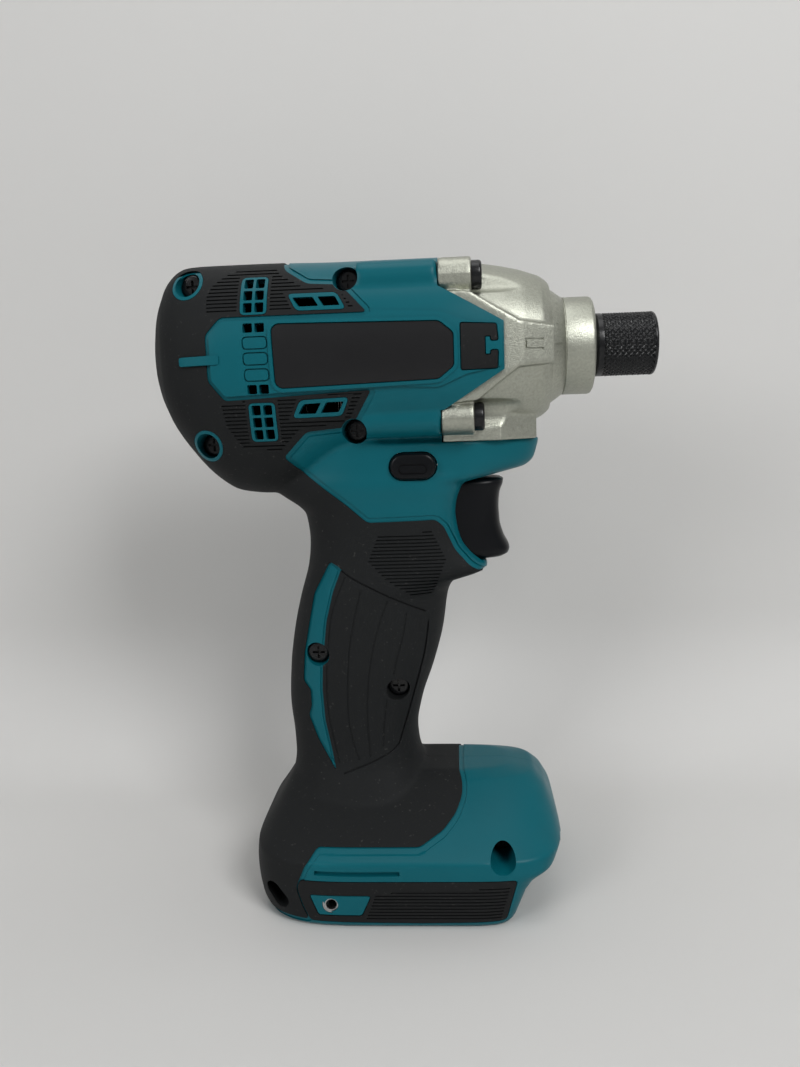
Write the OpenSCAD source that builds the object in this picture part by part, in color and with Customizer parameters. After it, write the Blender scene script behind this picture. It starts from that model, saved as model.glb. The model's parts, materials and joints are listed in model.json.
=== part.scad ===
// Cordless impact driver, bare tool without its battery.
// +X runs along the head towards the bit, +Z is up, the origin is under the middle of the tool.

/* [Overall] */
// Length from the back of the head to the front of the bit sleeve
tool_length = 155; // [152:0.5:162]
// Height of the drive axis above the foot's underside
axis_height = 170; // [167:0.5:178]

/* [Head] */
// Width across the head
head_width = 59; // [58:0.5:64]
// Depth of the head's rear belly below the drive axis
belly_depth = 42.2; // [41:0.2:46]
// Height of the front screw tubes from the axis, and their distance to each side
tube_offset = 20; // [19.5:0.25:21]
// Diameter of the four front screw tubes
tube_diameter = 10.4; // [9.6:0.2:11.6]

/* [Handle and foot] */
// Width of the handle at its middle
handle_width = 35; // [33:0.5:40]
// Width across the foot
foot_width = 79; // [77:0.5:86]
// Height of the foot's top above its underside
foot_height = 38; // [37:0.5:42]
// Height of the battery slot
slot_height = 14; // [12:0.5:15]
// Width of the battery slot above its rails
slot_width = 66; // [62:0.5:68]
// How far each battery rail stands in from the slot's side
rail_depth = 4.5; // [3:0.25:6]
// Thickness of each battery rail
rail_height = 4; // [3:0.25:5]

/* [Shells] */
// Wall of the two housing halves
wall = 3.4; // [3:0.1:4]
// Thickness of the moulded-on grip
grip_thickness = 1.4; // [1:0.1:1.8]
// Thickness of the blank side plates
plate_thickness = 0.6; // [0.4:0.1:1]
// Diameter of the housing screws
screw_diameter = 3.8; // [3:0.1:4]
// Diameter of the housing screw heads
screw_head_diameter = 6.8; // [6:0.1:7.4]

/* [Motor] */
// Outside diameter of the motor can
can_diameter = 47; // [44:0.5:47.5]
// Wall of the motor can
can_wall = 2.3; // [1.8:0.1:2.6]
// Thickness of the magnets
magnet_thickness = 4; // [3:0.1:5]
// Air gap between the magnets and the armature
air_gap = 0.6; // [0.4:0.05:0.9]
// Diameter of the armature shaft in its rear bearing
shaft_diameter = 6; // [5:0.25:6.5]
// Diameter of the commutator
commutator_diameter = 18; // [16:0.5:19]
// Diameter of the cooling fan
fan_diameter = 44; // [40:0.5:46]

/* [Gears] */
// Gear module
gear_module = 0.75; // [0.72:0.01:0.77]
// Face width of the gears
gear_width = 7; // [6:0.25:7.5]
// Diameter of the planet pins
planet_pin_diameter = 5; // [4:0.25:6]

/* [Impact mechanism] */
// Wall of the hammer case round the hammer
case_wall = 3.5; // [3.2:0.1:3.9]
// Wall of the hammer case's spigot inside the head
spigot_wall = 1.7; // [1.4:0.1:2]
// Diameter of the hammer
hammer_diameter = 41; // [39:0.25:41.5]
// Length of the hammer without its jaws
hammer_length = 18.5; // [17:0.5:19]
// How far the hammer draws back against its spring
hammer_travel = 8; // [6:0.5:8.5]
// Diameter of the spindle inside the hammer
spindle_diameter = 14; // [13:0.25:15]
// Diameter of the anvil in its bush
anvil_diameter = 14.9; // [14:0.1:15.5]
// Wall of the anvil bush
bush_wall = 2.7; // [2.2:0.1:3.2]
// Diameter of the case's collar behind the bit sleeve
collar_diameter = 29; // [27.5:0.25:31]

/* [Bit holder] */
// Width across the flats of the bit's hexagon
hex_across_flats = 6.35; // [6.3:0.05:6.6]
// Depth of the bit socket
socket_depth = 27; // [24:0.5:28]
// Diameter of the bit sleeve
sleeve_diameter = 19; // [18.5:0.25:20.5]
// Length of the bit sleeve
sleeve_length = 17.2; // [17:0.1:17.8]
// How far the bit sleeve slides forward
sleeve_travel = 4; // [3:0.25:4.5]
// Diameter of the bit detent balls
detent_ball_diameter = 3.8; // [3.4:0.1:4]

/* [Controls] */
// Width of the trigger
trigger_width = 19; // [17:0.5:20]
// How far the trigger travels
trigger_travel = 7; // [5:0.5:7.5]
// How far the reversing lever slides to each side
lever_travel = 3; // [2:0.25:3.5]
// How far the reversing lever stands out of the housing in the middle
lever_stand = 1.6; // [1.4:0.1:2.5]
// Thread core diameter of the belt hook nuts
hook_thread = 3.3; // [3:0.1:3.6]

/* [Clearances] */
// Radial clearance of a turning or sliding fit
run_gap = 0.05; // [0.02:0.01:0.08]
// Clearance between a fixed piece and its seat
seat_gap = 0.02; // [0.01:0.01:0.05]
// Clearance between pieces that only pass each other
free_gap = 0.3; // [0.25:0.05:0.4]
// Room round the hammer inside its case
hammer_room = 1.8; // [1.5:0.1:2]

/* [Hidden] */

eps = 0.01;
teal = [0.03, 0.36, 0.42];
charcoal = [0.13, 0.13, 0.13];
cast_silver = [0.74, 0.73, 0.69];
steel = [0.6, 0.6, 0.62];
dark_steel = [0.15, 0.15, 0.16];
copper = [0.72, 0.42, 0.22];
brass = [0.78, 0.62, 0.3];

// Places along the drive axis
rear_x = -tool_length / 2;
front_x = tool_length / 2;
axis_z = axis_height;
joint_x = front_x - 65;
head_hw = head_width / 2;
cavity_r = hammer_diameter / 2 + hammer_room;
case_r = cavity_r + case_wall;
spigot_r = cavity_r + spigot_wall;
head_top = spigot_r + 2 * free_gap + wall;
foot_hw = foot_width / 2;
handle_hw = handle_width / 2;

// Head sections: place, narrowing of the half width, drop of the top, depth below the axis
head_shape = [
    [rear_x, 20.5, 21.5, 7.5],
    [rear_x + 1.3, 14.5, 16.2, 10],
    [rear_x + 3.7, 9, 9, 15.2],
    [rear_x + 7, 5, 3.6, 21.7],
    [rear_x + 12, 2.1, 0.3, 29],
    [rear_x + 19, 0.5, 0, belly_depth - 5.4],
    [rear_x + 26.5, 0, 0, belly_depth - 1],
    [rear_x + 36, 0, 0, belly_depth],
    [rear_x + 46, 0, 0.1, belly_depth - 2.5],
    [rear_x + 59.5, 0, 0.4, belly_depth - 10.2],
    [rear_x + 72, 0, 0.4, belly_depth - 13.4],
    [joint_x, 0, 0.4, belly_depth - 14.2],
    [joint_x + 19, 0.9, 1.5, belly_depth - 15.2]
];

// Grip sections below the head: height, back, front, narrowing of the half width
grip_low = foot_height;
grip_high = axis_z - 75;
function grip_z(share) = grip_low + (grip_high - grip_low) * share;
grip_shape = [
    [foot_height - 6.6, -42.8, 8.6, -5],
    [foot_height - 1, -41, 4.5, -2.5],
    [grip_z(0.08), -40.1, 2.3, -0.4],
    [grip_z(0.2), -39.6, 1.7, 0.3],
    [grip_z(0.385), -39.9, 3.7, 0.4],
    [grip_z(0.58), -39.2, 7.6, 0.1],
    [grip_z(0.79), -37.4, 11, -0.1],
    [grip_high, -34.5, 13, -0.1]
];

// Sections round the trigger and chin: depth below the axis, back, front, narrowing
chin_shape = [
    [75, -34.5, 13, -0.1],
    [70.5, -33.1, 15.4, -0.1],
    [68.6, -32.5, 22, 0],
    [67, -32, 25.8, 0],
    [65.2, -31.6, 25.7, 0],
    [62.3, -31.1, 21.9, 0],
    [57, -30.7, 17.9, -0.1],
    [48.4, -30.9, 16.4, -0.5],
    [43.5, -35, 17.2, -0.9],
    [40, -42, 19.4, -1.5],
    [37.9, -42, 28.5, -1.4],
    [36, -42, 37, -1.1],
    [33, -42, 39.9, -0.9],
    [27, -42, 41.4, -0.7]
];

// Foot sections: height, back, front, narrowing of the half width, squareness of the front corners
foot_crease = 21;
roof_rise = foot_height - foot_crease;
function roof_z(share) = foot_crease + roof_rise * share;
function roof_in(share) = (foot_hw - 12) * share;
foot_shape = [
    [0, -47.5, 26.8, 2.2, 9],
    [1.5, -49, 28, 0.9, 9],
    [10, -50, 33.8, 0.25, 9],
    [15, -50, 44, 0, 7],
    [foot_crease, -49.5, 46.5, 0, 5],
    [roof_z(0.3), -46.3, 45.3, roof_in(0.3), 4.2],
    [roof_z(0.66), -42.8, 42.4, roof_in(0.66), 4.2],
    [roof_z(0.9), -41, 38.8, roof_in(0.9), 4.2],
    [foot_height, -40, 30, roof_in(1.04), 4.2]
];

ring_points = 20;
inner_points = 12;
head_roundness = 2.4;
grip_roundness = 2.3;
foot_roundness = 4.2;

function signed_power(v, p) = sign(v) * pow(abs(v), p);

// One closed section with its own four half sizes, its right side rounder or squarer than its left
function oval(right, left, up, down, roundness, right_roundness, count) = [
    for (i = [0:count - 1])
        let (a = 360 * i / count,
             power = 2 / (cos(a) > 0 ? right_roundness : roundness),
             u = signed_power(cos(a), power),
             v = signed_power(sin(a), power))
        [u > 0 ? u * right : u * left, v > 0 ? v * up : v * down]
];

// How far an inner skin moves forward inside the domed back
function dome_share(x) = max(0, min(1, (rear_x + 27.5 - x) / 27.5));

function head_ring(s, inset, count) = [
    for (p = oval(head_hw - s[1] - inset, head_hw - s[1] - inset,
                  head_top - s[2] - inset, s[3] - inset, head_roundness, head_roundness, count))
        [s[0] + inset * dome_share(s[0]), p[0], axis_z + p[1]]
];

function level_ring(z, back, front, half, inset, roundness, front_roundness, widest, count) = [
    for (p = oval(front - widest - inset, widest - back - inset,
                  half - inset, half - inset, roundness, front_roundness, count))
        [widest + p[0], p[1], z]
];

grip_widest = -14;
foot_widest = -4;
function chin_widest(depth) = grip_widest + 6 * min(1, (75 - depth) / 15);
// The cheeks beside the trigger are squarer than the grip
function cheek_roundness(depth) = grip_roundness + 2 * max(0, min(1, (75 - depth) / 8, (depth - 36) / 6));

function grip_rings(inset, count = ring_points) = [
    for (s = grip_shape)
        level_ring(s[0], s[1], s[2], handle_hw - s[3], inset, grip_roundness, grip_roundness,
                   grip_widest, count)
];

function chin_rings(inset, count = ring_points) = [
    for (s = chin_shape)
        level_ring(axis_z - s[0], s[1], s[2], handle_hw - s[3], inset, grip_roundness, cheek_roundness(s[0]),
                   chin_widest(s[0]), count)
];

// The foot's roof also sinks as its skin is set in
function foot_rings(inset, count = ring_points) = [
    for (s = foot_shape)
        level_ring(s[0] - inset * max(0, (s[0] - foot_crease) / roof_rise), s[1], s[2],
                   foot_hw - s[3], inset, foot_roundness, s[4], foot_widest, count)
];

// A skin stretched over a row of closed sections
module skin(rings) {
    count = len(rings[0]);
    sides = [for (i = [0:count - 1]) each [
        [i, (i + 1) % count, count + i],
        [count + i, (i + 1) % count, count + (i + 1) % count]
    ]];
    for (k = [0:len(rings) - 2])
        hull()
            polyhedron(points = concat(rings[k], rings[k + 1]), faces = sides);
}

module head_solid(inset, count = ring_points) {
    skin([for (s = head_shape) head_ring(s, inset, count)]);
}

// The whole outside form, or the same form set in by a distance
module outer_form(inset = 0) {
    head_solid(inset);
    skin(grip_rings(inset));
    skin(chin_rings(inset));
    skin(foot_rings(inset));
}

module hollow_form() {
    head_solid(wall, inner_points);
    skin(grip_rings(wall, inner_points));
    skin(chin_rings(wall, inner_points));
    intersection() {
        skin(foot_rings(wall, inner_points));
        above(slot_height + wall);
    }
}

// Everything above a height, wide enough to hold the tool
module above(z) {
    translate([-tool_length, -foot_width, z])
        cube([2 * tool_length, 2 * foot_width, 2 * axis_height]);
}

// A side outline in X and Z, carried through the whole width
module through(points, half = foot_width) {
    translate([0, half, 0])
        rotate([90, 0, 0])
            linear_extrude(2 * half)
                polygon(points);
}

module on_axis(x) {
    translate([x, 0, axis_z])
        rotate([90, 0, 90])
            children();
}

module side_bore(x, z, r, from_y, to_y, sides = 40) {
    translate([x, to_y, z])
        rotate([90, 0, 0])
            cylinder(r = r, h = to_y - from_y, $fn = sides);
}

module right_half() {
    translate([-tool_length, -2 * foot_width, -eps])
        cube([2 * tool_length, 2 * foot_width, 2 * axis_height]);
}

// Black grip outline on the side of the tool
upper_panel = axis_z + 9.5;
lower_panel = axis_z - 12.4;
grip_outline = [
    [rear_x - 5, axis_z + head_top + 5], [-36.5, axis_z + head_top + 5], [-31.5, axis_z + 23.8],
    [-24.5, axis_z + 19.2], [-16.5, axis_z + 18.6], [-13.5, axis_z + 17], [-7.9, upper_panel],
    [-49, upper_panel], [-53.4, axis_z + 5], [-53.4, axis_z - 7], [-49, lower_panel],
    [-7.2, axis_z - 10.6], [-12.3, axis_z - 19.9], [-16, axis_z - 21.8], [-26.5, axis_z - 22.6],
    [-34, axis_z - 30], [-28.8, axis_z - 35.7], [-17.1, axis_z - 45], [-10.6, axis_z - 50.7],
    [9.8, axis_z - 50.4], [12.2, axis_z - 52.6], [15.5, axis_z - 60], [19.8, axis_z - 65],
    [24, axis_z - 67.8], [40, axis_z - 69], [40, foot_height + 14], [14, foot_height + 4],
    [16.2, foot_height + 1], [15.5, foot_height - 4], [13.6, foot_height - 8],
    [9.8, foot_height - 11], [2.7, foot_crease + 3], [-28, foot_crease + 3],
    [-31.5, foot_crease - 1], [-34.8, 12], [-36, 3], [rear_x, 3]
];
handle_strip = [
    [-22.9, axis_z - 62.9], [-19.5, axis_z - 64.8], [-22.4, axis_z - 72], [-24.8, axis_z - 81],
    [-26.6, axis_z - 94], [-27.2, axis_z - 103], [-26.8, axis_z - 113], [-23.8, axis_z - 129],
    [-29.3, axis_z - 119.6], [-32.1, axis_z - 112.3], [-31, axis_z - 109.4],
    [-31, axis_z - 103.8], [-33.4, axis_z - 101.2], [-32.6, axis_z - 92], [-28.5, axis_z - 73]
];
foot_pad_outline = [
    [-34, 15.3], [30.6, 15.3], [29.6, 11.5], [26.2, 2.4], [3.4, 2], [-31, 2.4], [-33, 7], [-35, 12.6]
];
hook_plate_outline = [[-30.3, 10.8], [-12.2, 10.8], [-15, 4.6], [-27.9, 4.6]];
plate_outline = [
    [-32.7, axis_z + 9], [13, axis_z + 7.8], [17, axis_z + 4.2], [17, axis_z - 5.6],
    [12.6, axis_z - 9.3], [-32.7, axis_z - 10.7], [-34.6, axis_z - 8.6], [-34.6, axis_z + 7.6]
];
side_pad_outline = [
    [18.7, axis_z + 6.3], [28.5, axis_z + 6.3], [28.9, axis_z + 1.2], [25.6, axis_z + 1.2],
    [25.4, axis_z - 1.6], [28.9, axis_z - 1.6], [28.7, axis_z - 7], [18.7, axis_z - 6.8]
];
vent_rows = [axis_z + 18.6, axis_z + 15.3, axis_z + 12, axis_z - 14.8, axis_z - 18.6, axis_z - 22.2];
vent_columns = [-41.2, -37.6];
vent_size = [2.4, 2.6];
slant_vents = [
    [[-28.4, axis_z + 15.2], [-23.2, axis_z + 15.2], [-21.4, axis_z + 12.5], [-26.6, axis_z + 12.5]],
    [[-21.6, axis_z + 15.2], [-16.8, axis_z + 15.2], [-14.8, axis_z + 12.5], [-19.8, axis_z + 12.5]],
    [[-26.4, axis_z - 14.6], [-21.4, axis_z - 14.4], [-23.2, axis_z - 17.4], [-28.2, axis_z - 17.4]],
    [[-19.8, axis_z - 14.4], [-14.6, axis_z - 14.2], [-16.6, axis_z - 17.2], [-21.4, axis_z - 17.4]]
];

// Housing screws: place along X, height
screw_places = [
    [rear_x + 17.9, axis_z + 20.6], [rear_x + 21.4, axis_z - 25.9], [joint_x - 26.1, axis_z + 20.4],
    [joint_x - 25.3, axis_z - 23.1], [-28.2, axis_z - 92], [-3.4, axis_z - 103.6], [27.2, foot_crease]
];
screw_seats = [14, 15, 14.5, 15, 10, 10, 25];
screw_reach = [14, 14, 14, 14, 11, 11, 26];
boss_wall = 2.4;
screw_boss_r = screw_diameter / 2 + boss_wall;
screw_head_height = 2.6;

// Controls
trigger_z = axis_z - 64.2;
trigger_top = axis_z - 39.2;
trigger_hw = trigger_width / 2;
trigger_back = 12;
trigger_shape = [
    [25.4, trigger_z], [31.2, trigger_z + 0.7], [32.6, trigger_z + 1.6], [32.8, trigger_z + 3],
    [30.9, trigger_z + 6.8], [29.8, trigger_z + 11.6], [29.6, trigger_z + 16.3],
    [30, trigger_z + 20.4], [31.2, trigger_z + 24], [30, trigger_top], [19, trigger_top],
    [trigger_back, trigger_top - 1], [trigger_back, trigger_z + 4], [21, trigger_z + 2.4]
];
stem_z = axis_z - 51;
stem_r = 3;
switch_front = trigger_back - trigger_travel - 1;
switch_length = 26;
switch_hw = handle_hw - wall - 1.6;
switch_low = axis_z - 61.6;
switch_high = axis_z - 40;
lever_x = 3.7;
lever_z = axis_z - 34;
lever_half = [3, 3.9];
lever_reach = handle_hw + 1 + lever_stand;
lamp_z = axis_z - 31.5;
lamp_r = 2.6;
lamp_back = 31;
lens_front = 40.3;
lens_length = 2.4;
stem_in = 10;

// Inlays, nuts, terminals and leads
pad_depth = 1;
plate_recess = 0.3;
strap_hole_r = 3;
hook_nut_x = -24;
hook_nut_z = 7.9;
hook_nut_r = 2.7;
hook_nut_length = 5;
hook_nut_face = foot_hw - 1;
block_rear = -34;
block_front = -16;
block_hw = 13;
block_height = 9;
lead_r = 1.5;
lead_spread = 5;
lead_x = -19;

// Gears
sun_teeth = 12;
planet_teeth = 18;
ring_teeth = sun_teeth + 2 * planet_teeth;
planet_orbit = gear_module * (sun_teeth + planet_teeth) / 2;
pressure_angle = 25;
tooth_tip = 0.8;
tooth_root = 1.05;
backlash = 0.12;
ring_gear_r = gear_module * ring_teeth / 2 + 3.5;
planet_pin_r = planet_pin_diameter / 2;

// Impact mechanism along X
gear_box_length = 30.5;
hammer_reach = 23.5;
spigot_x = joint_x - 8.2;
boss_front = joint_x + 9.7;
gear_front = spigot_x;
gear_rear = gear_front - gear_width - free_gap;
carrier_front = gear_front + 3.5;
carrier_rear = gear_rear - 2.5;
box_rear = joint_x - gear_box_length;
bearing_width = 5;
spindle_bearing_rear = carrier_rear - bearing_width - 0.2;
hammer_front = joint_x + hammer_reach;
hammer_rear = hammer_front - hammer_length;
jaw_length = 4.4;
arm_rear = hammer_front + free_gap;
arm_front = arm_rear + 5;
washer_front = arm_front + free_gap + 0.8;
nose_wall = washer_front;
nose_front = front_x - 31.8;
collar_rear = front_x - 27.5;
collar_front = front_x - 19.1;
bush_rear = nose_wall + 0.6;
bush_front = collar_front - 0.9;
bush_r = anvil_diameter / 2 + run_gap + bush_wall;
anvil_front = front_x - 0.5;
neck_r = 6.3;
neck_x = collar_front + 0.8;
sleeve_rear = front_x - sleeve_length;
ball_x = sleeve_rear + 4.4;
ball_r = detent_ball_diameter / 2;
ball_lift = 0.33;
ball_seat = neck_r - ball_r - 0.02;
ring_x = front_x - 2.2;
ring_width = 0.8;
land_front = ring_x - sleeve_travel - 2.6;
chamber_r = sleeve_diameter / 2 - 1.3;
pilot_r = 4;
hub_r = 8.4;
arm_r = 18.6;
lip_r = 8.2;
washer_thickness = 0.8;
ring_seat_r = 5.4;
spindle_r = spindle_diameter / 2;
journal_r = 8;
journal_bore = 6;
carrier_r = planet_orbit + planet_pin_diameter / 2 + 2.3;
spindle_bearing_r = 14;
spring_plate_r = 18.5;
spring_outer = 15;
spring_inner = 11.5;
pocket_end = hammer_rear + 8.8;
cam_ball_r = 2.5;
cam_ball_orbit = spindle_r + 0.2;
cam_ball_x = hammer_front - 7.5;
case_screw_r = 2.1;
case_screw_head_r = 4.1;
flange_drop = 27;
gear_neck_r = 16.2;
gear_flange_x = carrier_rear - 0.6;
jaw_inner = 9;
jaw_angle = 50;
arm_angle = 40;
arm_turn = jaw_angle / 2 + arm_angle / 2 + 1.2;

// Motor along X
front_bearing_x = box_rear + 0.6;
can_r = can_diameter / 2;
can_rear = rear_x + 20.5;
fan_front = box_rear - 0.4;
fan_rear = fan_front - 8;
can_front = fan_rear - 1.2;
magnet_r = can_r - can_wall - seat_gap;
core_r = magnet_r - magnet_thickness - air_gap;
core_rear = can_rear + 4;
core_front = can_front - 4.6;
commutator_r = commutator_diameter / 2;
commutator_rear = rear_x + 11.6;
commutator_front = can_rear - 1;
brush_plate_r = 16;
brush_hw = [2.5, 3.5];
brush_outer = 15;
rear_bearing_r = 8.5;
rear_bearing_x = rear_x + 4.7;
shaft_r = shaft_diameter / 2;
front_journal_r = 3.5;
front_bearing_r = 9.5;
brush_x = (commutator_rear + can_rear) / 2 + 0.3;

function involute_angle(base, r) =
    let (t = sqrt(max(0, r * r / (base * base) - 1))) t * 180 / PI - atan(t);

// Half the angle of a tooth at a radius
function half_tooth(teeth, r, thinning) =
    let (pitch = gear_module * teeth / 2,
         base = pitch * cos(pressure_angle))
    90 / teeth - thinning / 2 / pitch * 180 / PI
        + involute_angle(base, pitch) - involute_angle(base, max(r, base));

module gear_outline(teeth, tip_r, root_r, thinning) {
    steps = 5;
    radii = [for (k = [0:steps]) root_r + (tip_r - root_r) * k / steps];
    polygon([
        for (t = [0:teeth - 1])
            let (middle = 360 * t / teeth)
            each concat(
                [for (k = [0:steps])
                    let (a = middle - half_tooth(teeth, radii[k], thinning))
                    radii[k] * [cos(a), sin(a)]],
                [for (k = [steps:-1:0])
                    let (a = middle + half_tooth(teeth, radii[k], thinning))
                    radii[k] * [cos(a), sin(a)]])
    ]);
}

module outside_gear(teeth) {
    pitch = gear_module * teeth / 2;
    gear_outline(teeth, pitch + gear_module * tooth_tip, pitch - gear_module * tooth_root, backlash);
}

module turned(points) {
    rotate_extrude($fn = 96)
        polygon(points);
}

module ring_solid(outer, inner, length) {
    turned([[inner, 0], [outer, 0], [outer, length], [inner, length]]);
}

// Outside of the hammer case behind its nose, with room round it
module case_room(gap) {
    on_axis(joint_x - 0.2)
        cylinder(r = case_r + gap, h = 40, $fn = 96);
    for (side = [-1, 1])
        for (level = [-1, 1])
            translate([joint_x - 0.2, side * tube_offset, axis_z + level * tube_offset])
                rotate([0, 90, 0])
                    cylinder(r = tube_diameter / 2 + gap, h = 40, $fn = 24);
    translate([joint_x - 0.2, -foot_width, axis_z - 27.2])
        cube([60, 2 * foot_width, 9]);
}

// Front limit of the housing: the joint, the side tongues and the chin
housing_outline = [
    [rear_x - 5, -5], [front_x, -5], [front_x, axis_z - 26], [joint_x, axis_z - 26],
    [joint_x, axis_z - 18.3], [joint_x + 18.2, axis_z - 6.8], [joint_x + 18.2, axis_z + 6.4],
    [joint_x, axis_z + 17], [joint_x, axis_z + head_top + 10], [rear_x - 5, axis_z + head_top + 10]
];

module screw_tubes() {
    for (side = [-1, 1])
        for (level = [-1, 1])
            translate([joint_x - 23, side * tube_offset, axis_z + level * tube_offset])
                rotate([0, 90, 0])
                    cylinder(r = tube_diameter / 2, h = 23, $fn = 20);
}

module slot_cut() {
    slot_hw = slot_width / 2;
    translate([-36, -slot_hw, rail_height + 1])
        cube([120, slot_width, slot_height - rail_height - 1]);
    translate([-36, -slot_hw + rail_depth, -1])
        cube([120, slot_width - 2 * rail_depth, slot_height]);
    translate([-36, -slot_hw, -1])
        cube([120, slot_width, 2]);
}

module strap_hole() {
    hull() {
        side_bore(-43.4, 9.8, strap_hole_r, -foot_width, foot_width, 16);
        side_bore(-41, 6.2, strap_hole_r, -foot_width, foot_width, 16);
    }
}

module vents() {
    for (side = [-1, 1])
        translate([0, side * head_width / 2, 0]) {
            for (x = vent_columns)
                for (z = vent_rows)
                    translate([x - vent_size[0] / 2, -10, z - vent_size[1] / 2])
                        cube([vent_size[0], 20, vent_size[1]]);
            for (outline = slant_vents)
                through(outline, 10);
        }
}

// Cross ribs that carry the motor, the gear box and the bearings
module ribs() {
    rib_places = [
        [rear_bearing_x + 0.5, bearing_width - 1], [can_rear + 3, 3], [can_front - 6, 3],
        [box_rear + 2, 3], [joint_x - 18, 8]
    ];
    for (rib = rib_places)
        translate([rib[0], -foot_width, axis_z - belly_depth])
            cube([rib[1], 2 * foot_width, belly_depth + head_top]);
}

// A round room on the axis whose flats stay outside its radius
module round_room(x, r, length) {
    sides = 28;
    on_axis(x)
        cylinder(r = r / cos(180 / sides), h = length, $fn = sides);
}

module rib_room() {
    round_room(rear_bearing_x - 1, rear_bearing_r + seat_gap, bearing_width + 2);
    round_room(rear_bearing_x + bearing_width, brush_plate_r + free_gap,
               can_rear - rear_bearing_x - bearing_width);
    round_room(can_rear - free_gap, can_r + free_gap / 2, can_front - can_rear + 2 * free_gap);
    round_room(fan_rear - 1, fan_diameter / 2 + 1, fan_front - fan_rear + 1);
    round_room(box_rear - 1, gear_neck_r + free_gap / 3, 20);
    round_room(gear_flange_x - free_gap, spigot_r + free_gap / 3, 40);
}

module screw_bosses() {
    for (place = screw_places)
        side_bore(place[0], place[1], screw_boss_r, -foot_hw, foot_hw, 14);
}

module screw_rooms() {
    for (i = [0:len(screw_places) - 1]) {
        place = screw_places[i];
        side_bore(place[0], place[1], screw_diameter / 2 + free_gap, -foot_width, screw_reach[i] + 1, 14);
        side_bore(place[0], place[1], screw_head_diameter / 2 + free_gap, -foot_width, -screw_seats[i], 18);
        side_bore(place[0], place[1], screw_head_diameter / 2 + free_gap, screw_reach[i] + 3, foot_width, 18);
    }
}

module trigger_room() {
    translate([trigger_back - trigger_travel - 0.6, -trigger_hw - free_gap, trigger_z - 0.5])
        cube([40, trigger_width + 2 * free_gap, trigger_top - trigger_z + 1]);
}

module lever_oval(gap) {
    hull()
        for (end = [-1, 1])
            translate([lever_x + end * lever_half[0], 0, lever_z])
                rotate([90, 0, 0])
                    cylinder(r = lever_half[1] + gap, h = 3 * foot_width, center = true, $fn = 32);
}

module lamp_room() {
    translate([lamp_back - 0.5, 0, lamp_z])
        rotate([0, 90, 0])
            cylinder(r = lamp_r + free_gap, h = 40, $fn = 32);
}

module plate_pocket(outline, depth) {
    difference() {
        through(outline);
        head_solid(depth);
    }
}

// Both housing halves as one form before they are parted
module housing_form() {
    difference() {
        intersection() {
            union() {
                difference() {
                    union() {
                        outer_form();
                        screw_tubes();
                    }
                    hollow_form();
                }
                intersection() {
                    outer_form(grip_thickness);
                    union() {
                        ribs();
                        screw_bosses();
                    }
                }
            }
            through(housing_outline);
        }
        difference() {
            through(grip_outline);
            through(handle_strip);
            outer_form(grip_thickness);
        }
        plate_pocket(plate_outline, plate_recess + plate_thickness);
        plate_pocket(side_pad_outline, pad_depth);
        foot_pad_room(pad_depth);
        rib_room();
        case_room(free_gap);
        slot_cut();
        strap_hole();
        vents();
        screw_rooms();
        trigger_room();
        lever_oval(free_gap);
        lamp_room();
        case_screw_rooms();
        hook_nut_room();
        lead_room();
        switch_room();
    }
}

module case_screw_rooms() {
    for (side = [-1, 1])
        for (level = [-1, 1])
            translate([joint_x - 18.5, side * tube_offset, axis_z + level * tube_offset])
                rotate([0, 90, 0])
                    cylinder(r = case_screw_r + free_gap, h = 30, $fn = 14);
}

// The rubber inlays low on the foot's sides
module foot_pad_room(depth) {
    difference() {
        through(foot_pad_outline);
        through(hook_plate_outline);
        skin(foot_rings(depth));
    }
}

module hook_nut_room() {
    for (side = [0, 1])
        mirror([0, side, 0])
            side_bore(hook_nut_x, hook_nut_z, hook_nut_r + 2 * seat_gap,
                      -foot_width, hook_nut_length - hook_nut_face);
}

module switch_room() {
    translate([switch_front - switch_length - free_gap, -switch_hw - free_gap, switch_low - free_gap])
        cube([switch_length + 2 * free_gap, 2 * (switch_hw + free_gap),
              switch_high - switch_low + 2 * free_gap]);
}

module lead_room() {
    for (side = [-1, 1])
        translate([lead_x, side * lead_spread, slot_height - 2])
            cylinder(r = lead_r + free_gap, h = 12, $fn = 14);
}

module housing_right() {
    color(teal)
        intersection() {
            housing_form();
            right_half();
        }
}

module housing_left() {
    color(teal)
        difference() {
            housing_form();
            right_half();
        }
}

module grip_form() {
    difference() {
        intersection() {
            outer_form();
            through(grip_outline);
        }
        outer_form(grip_thickness - seat_gap);
        through(handle_strip);
        vents();
        screw_rooms();
        strap_hole();
        slot_cut();
        foot_pad_room(pad_depth);
        trigger_room();
    }
}

module grip_right() {
    color(charcoal)
        intersection() {
            grip_form();
            right_half();
        }
}

module grip_left() {
    color(charcoal)
        difference() {
            grip_form();
            right_half();
        }
}

module foot_pads() {
    color(charcoal)
        intersection() {
            skin(foot_rings(0));
            foot_pad_room(pad_depth - seat_gap);
        }
}

module side_pads() {
    color(charcoal)
        difference() {
            intersection() {
                head_solid(0);
                through(side_pad_outline);
            }
            head_solid(pad_depth - seat_gap);
        }
}

module side_plates() {
    color(dark_steel)
        difference() {
            intersection() {
                head_solid(plate_recess);
                through(plate_outline);
            }
            head_solid(plate_recess + plate_thickness - seat_gap);
        }
}

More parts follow.
